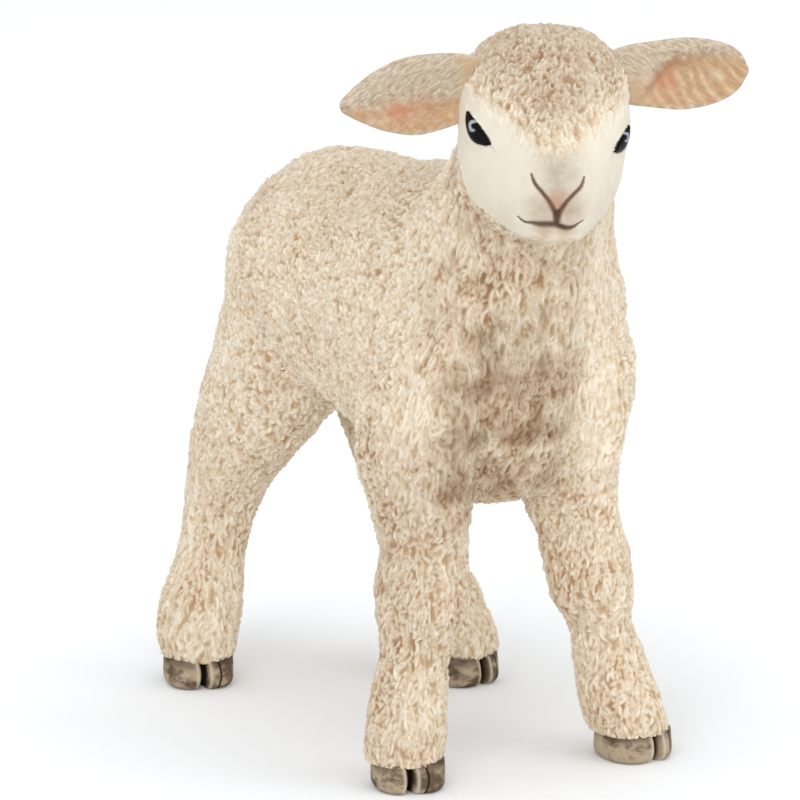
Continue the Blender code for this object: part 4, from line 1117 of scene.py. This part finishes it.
def make_line_group():
    """A painted line: one within half a width of the run between two places, with a soft edge."""
    build, given, result = new_group(
        "painted_line", [("Place", "Vector", None), ("Start", "Vector", None), ("End", "Vector", None),
                         ("Half Width", "Float", 0.1)], [("Mask", "Float")])

    def vector(operation, *values):
        """One step of vector arithmetic."""
        node = build.add("ShaderNodeVectorMath", dict(enumerate(values)), operation=operation)
        return node.outputs["Value"] if operation in ("DOT_PRODUCT", "LENGTH") else node.outputs["Vector"]

    run = vector("SUBTRACT", given["End"], given["Start"])
    away = vector("SUBTRACT", given["Place"], given["Start"])
    share = build.maths("DIVIDE", vector("DOT_PRODUCT", away, run), vector("DOT_PRODUCT", run, run))
    share = build.add("ShaderNodeClamp", {"Value": share}).outputs[0]
    along = build.add("ShaderNodeVectorMath", {0: run, 3: share}, operation="SCALE").outputs["Vector"]
    gap = vector("LENGTH", vector("SUBTRACT", away, along))
    inner = build.times(given["Half Width"], 0.25)
    outer = build.maths("MULTIPLY_ADD", given["Half Width"], 1.45, 0.03)
    build.tree.links.new(build.ease(gap, inner, outer, 1.0, 0.0), result["Mask"])
    return build.tree


WOOL_GROUP = make_wool_group()
LINE_GROUP = make_line_group()


def new_material(name, roughness, **sockets):
    """A material with its Principled shader and a builder for the rest."""
    material = bpy.data.materials.new(name)
    material.use_nodes = True
    shader = material.node_tree.nodes["Principled BSDF"]
    shader.inputs["Roughness"].default_value = roughness
    for key, value in sockets.items():
        shader.inputs[key.replace("_", " ")].default_value = value
    build = Nodes(material.node_tree)
    place = build.add("ShaderNodeTexCoord").outputs["Object"]
    return material, build, shader, place


def join(build, shader, colour, height, strength):
    """Run a colour and a bump into a material's own shader."""
    build.tree.links.new(colour, shader.inputs["Base Color"])
    bump = build.add("ShaderNodeBump", {"Height": height, "Strength": strength, "Distance": BUMP_DEPTH})
    build.tree.links.new(bump.outputs[0], shader.inputs["Normal"])


def wool_paint(build, place):
    """The wool group, fed with its place and the attributes of the skin."""
    wool = build.add("ShaderNodeGroup", node_tree=WOOL_GROUP)
    build.tree.links.new(place, wool.inputs["Place"])
    for label in ("Relief", "Tone", "Tan", "Dust_And_Shade"):
        build.tree.links.new(build.attribute(label.lower()), wool.inputs[label])
    return wool.outputs


def wool_material():
    """Cream wool paint with a fibrous bump."""
    material, build, shader, place = new_material("cream_wool_paint", 0.82)
    wool = wool_paint(build, place)
    join(build, shader, wool["Color"], wool["Height"], 0.35)
    return material


def face_material():
    """Cream face with a grey cast on the bridge, blush by the nose, brown painted shade on the chin under
    the mouth, painted lines for nose and mouth, and wool paint where it isn't bare."""
    material, build, shader, place = new_material("lamb_face_paint", 0.6)
    face_place = build.attribute("face_place", "Vector")
    aside, along, height = build.add("ShaderNodeSeparateXYZ", {0: face_place}).outputs
    either_side = build.maths("ABSOLUTE", aside)
    folded = build.add("ShaderNodeCombineXYZ", {0: either_side, 1: 0.0, 2: height}).outputs[0]
    straight = build.add("ShaderNodeCombineXYZ", {0: aside, 1: 0.0, 2: height}).outputs[0]
    front = build.ease(along, -5.6, -6.4)
    blotch = build.ease(build.noise(place, 1300.0, 3.0), 0.25, 0.75, 0.62, 1.0)
    mottle = build.ease(build.noise(place, 480.0, 3.0), 0.35, 0.7)
    colour = build.mix(mottle, (238, 230, 212), (230, 222, 206))
    # soft spots: grey on the bridge, grey-pink on the upper lip, pink between the nose arms, and brown
    # painted shade on the chin under the mouth
    for centre, size, share, tint in (
        ((0.0, 0.0, -2.6), 2.8, 1.0, (178, 170, 148)), ((0.8, 0.0, -4.7), 1.8, 1.0, (178, 156, 132)),
        ((0.0, 0.0, -4.0), 1.05, 1.0, (176, 130, 96)), ((0.6, 0.0, -6.05), 1.2, 0.9, (198, 168, 138)),
    ):
        gap = build.add("ShaderNodeVectorMath", {0: folded, 1: centre}, operation="DISTANCE").outputs["Value"]
        spot = build.times(build.times(build.ease(gap, size, 0.0), share), front)
        colour = build.mix(build.times(spot, blotch), colour, tint)

    def strokes(place_on_face, *paths):
        """The painted runs of several paths, the strongest at each place."""
        so_far = 0.0
        for path in paths:
            for start, end in zip(path, path[1:]):
                line = build.add("ShaderNodeGroup", node_tree=LINE_GROUP)
                build.tree.links.new(place_on_face, line.inputs["Place"])
                line.inputs["Start"].default_value = (start[0], 0.0, start[1])
                line.inputs["End"].default_value = (end[0], 0.0, end[1])
                line.inputs["Half Width"].default_value = (start[2] + end[2]) / 2
                so_far = build.maths("MAXIMUM", so_far, line.outputs[0])
        return so_far

    fade = build.times(front, build.ease(build.noise(place, 900.0, 2.0), 0.2, 0.7, 0.88, 1.0))
    colour = build.mix(build.times(strokes(folded, NOSE_ARM), fade), colour, (100, 60, 38))
    colour = build.mix(build.times(strokes(straight, NOSE_STEM, MOUTH_LINE), fade), colour, (72, 44, 20))
    colour = build.mix(build.attribute("bare"), wool_paint(build, place)["Color"], colour)
    join(build, shader, colour, build.noise(place, 3400.0, 4.0, 0.6), 0.22)
    return material


def ear_material():
    """Streaked cream fur, an orange hollow with a pink blush, painted shade along its upper edge and a tan
    root.
    """
    material, build, shader, place = new_material("ear_paint", 0.74)
    hair = build.noise(build.attribute("leaf", "Vector"), 1.0, 3.0, 0.6)
    speckle = build.centred(build.noise(place, 1700.0))
    relief = build.maths("MULTIPLY_ADD", speckle, 0.45, build.attribute("relief"))
    fur_share = build.maths("MULTIPLY_ADD", build.centred(relief), 0.30, hair)
    warm_share = build.maths("MULTIPLY_ADD", build.centred(hair), 0.3, relief)
    fur = build.mix(build.ease(fur_share, 0.30, 0.70), (176, 158, 133), (218, 204, 184))
    orange = build.mix(build.ease(warm_share, 0.10, 0.95), (178, 132, 94), (212, 184, 146))
    pink = build.mix(build.ease(warm_share, 0.05, 0.95), (186, 112, 84), (208, 148, 118))
    mottle = build.ease(build.noise(place, 900.0), 0.30, 0.66, 0.62, 1.0)
    specks = build.ease(build.noise(place, 2100.0, 1.0), 0.46, 0.60, 0.0, 0.60)
    colour = build.mix(build.times(build.attribute("hollow"), mottle), fur, orange)
    colour = build.mix(build.times(build.attribute("blush"), build.times(mottle, 0.85)), colour, pink)
    colour = build.mix(build.times(build.attribute("shade"), 0.60), colour, (160, 112, 76))
    colour = build.mix(build.times(build.attribute("fringe"), specks), colour, (160, 128, 102))
    root = build.times(build.attribute("root"), build.times(build.attribute("front"), 0.7))
    colour = build.mix(root, colour, (196, 166, 130))
    join(build, shader, colour, build.noise(place, 3600.0, 4.0, 0.65), 0.35)
    return material


def hoof_material():
    """Grey-brown hoof in worn bands, painted shade at its top under the wool, dark in the cleft, pale on the
    cleft's rim.
    """
    material, build, shader, place = new_material("hoof_paint", 0.72, Specular_IOR_Level=0.25)
    stretched = build.add("ShaderNodeMapping", {"Vector": place, "Scale": (1.0, 1.0, 1.8)}).outputs[0]
    bands = build.noise(stretched, 420.0, 4.0, 0.6)
    height = build.add("ShaderNodeSeparateXYZ", {0: place}).outputs[2]
    # painted shade: a dark band at the hoof's top, under the wool's edge
    crown = build.ease(build.maths("MULTIPLY_ADD", bands, 0.0008, height), 0.00165, 0.0023, 0.0, 0.7)
    flecks = build.ease(build.noise(place, 1700.0, 3.0), 0.50, 0.72, 0.0, 0.55)
    worn = build.ease(build.noise(place, 420.0, 3.0, 0.6), 0.52, 0.70, 0.0, 0.6)
    rim = build.times(build.attribute("rim"), 0.75)
    cleft = build.ease(build.attribute("cleft"), 0.25, 0.7)
    colour = build.mix(build.ease(bands, 0.42, 0.57), (98, 81, 62), (182, 164, 139))
    for share, tint in ((crown, (76, 60, 45)), (flecks, (96, 79, 62)), (worn, (190, 174, 151)),
                        (rim, (208, 196, 176)), (cleft, (50, 36, 27))):
        colour = build.mix(share, colour, tint)
    join(build, shader, colour, build.noise(place, 2600.0, 4.0, 0.6), 0.25)
    return material


def eye_material():
    """Glossy black with a pale painted glint."""
    material, build, shader, place = new_material("eye_gloss", 0.10, Specular_IOR_Level=0.10)
    tone = build.mix(build.ease(build.noise(place, 900.0), 0.3, 0.7), (4, 4, 5), (13, 10, 10))
    worn = build.ease(build.noise(place, 2200.0), 0.2, 0.6, 0.55, 1.0)
    colour = build.mix(build.times(build.attribute("glint"), worn), tone, (178, 186, 196))
    join(build, shader, colour, build.noise(place, 2400.0), 0.05)
    return material


def make_floor():
    """A wide pale floor. To the camera it also glows, faintly under the figure and more with distance, so
    that it shows white away from the shadow."""
    h = FLOOR_HALF
    mesh = write_mesh("studio_floor", np.array([(-h, -h, 0), (h, -h, 0), (h, h, 0), (-h, h, 0)]),
                      np.array([(0, 1, 2, 3)]), NO_TRIS)
    floor = bpy.data.objects.new("studio_floor", mesh)
    bpy.context.scene.collection.objects.link(floor)
    material, build, shader, place = new_material("floor_white", 0.9, Specular_IOR_Level=0.0)
    camera_ray = build.add("ShaderNodeLightPath").outputs["Is Camera Ray"]
    white = build.mix(camera_ray, (0.86, 0.86, 0.86, 1.0), (0.935, 0.965, 1.0, 1.0))
    build.tree.links.new(white, shader.inputs["Base Color"])
    away = build.add("ShaderNodeVectorMath", {0: place}, operation="LENGTH").outputs["Value"]
    lift = build.ease(away, *FLOOR_REACH, *FLOOR_LIFT)
    glow = build.add("ShaderNodeEmission", {"Color": (1.0, 1.0, 1.0, 1.0),
                                            "Strength": build.times(camera_ray, lift)})
    total = build.add("ShaderNodeAddShader", {0: shader.outputs[0], 1: glow.outputs[0]})
    build.tree.links.new(total.outputs[0], build.tree.nodes["Material Output"].inputs["Surface"])
    mesh.materials.append(material)


def make_light(name, place, size, power):
    """A square soft lamp that looks at the figure."""
    lamp = bpy.data.lights.new(name, "AREA")
    lamp.size = size
    lamp.energy = power
    thing = bpy.data.objects.new(name, lamp)
    thing.location = place
    thing.rotation_euler = (LOOK_AT - Vector(place)).to_track_quat("-Z", "Y").to_euler()
    bpy.context.scene.collection.objects.link(thing)


def make_world():
    """Even white light from all round; camera, mirror and glass rays see plain white."""
    world = bpy.data.worlds.new("white_room")
    bpy.context.scene.world = world
    world.use_nodes = True
    build = Nodes(world.node_tree)
    rays = build.add("ShaderNodeLightPath").outputs
    seen = build.maths("MAXIMUM", rays["Is Camera Ray"], rays["Is Glossy Ray"])
    seen = build.maths("MAXIMUM", seen, rays["Is Transmission Ray"])
    back = world.node_tree.nodes["Background"]
    back.inputs["Color"].default_value = (1.0, 1.0, 1.0, 1.0)
    strength = build.maths("MULTIPLY_ADD", seen, 1.0 - ROOM_LIGHT, ROOM_LIGHT)
    build.tree.links.new(strength, back.inputs["Strength"])


def make_camera():
    """The camera that the photo was taken with, as fitted: far off, with a long lens."""
    back = Vector((-sin(CAMERA_SIDE) * cos(CAMERA_RISE), -cos(CAMERA_SIDE) * cos(CAMERA_RISE),
                   sin(CAMERA_RISE)))
    lens = bpy.data.cameras.new("photo_camera")
    lens.lens = CAMERA_LENS
    lens.sensor_width = 36.0
    lens.clip_start = 0.01
    lens.clip_end = 20.0
    camera = bpy.data.objects.new("photo_camera", lens)
    camera.location = LOOK_AT + back * CAMERA_AWAY
    camera.rotation_euler = (-back).to_track_quat("-Z", "Y").to_euler()
    bpy.context.scene.collection.objects.link(camera)
    bpy.context.scene.camera = camera


PAINTS = {"wool": wool_material(), "face": face_material(), "ear": ear_material(),
          "hoof": hoof_material(), "eye": eye_material()}

skin_pieces()
make_piece("wool_tail", "tail", "wool", *tail_shape())
for side in ("right", "left"):
    make_piece("ear_leaf_" + side, "ear_" + side, "ear", *ear_shape(side))
    make_piece("eye_almond_" + side, "eye_" + side, "eye", *eye_shape(side))
for name, facts in LEGS.items():
    hoof = name + "_hoof"
    make_piece("cloven_" + hoof, hoof, "hoof", *hoof_shape(facts[3], facts[5], CLEFT_ASIDE[name]))

make_floor()
make_world()
make_light("top_softbox", (-0.05, -0.20, 0.60), 0.40, 0.45)
make_light("front_softbox", (-0.42, -0.52, 0.30), 0.34, 1.28)
make_light("right_softbox", (0.42, -0.50, 0.25), 0.40, 0.80)
make_camera()
bpy.context.scene.view_settings.view_transform = "Standard"
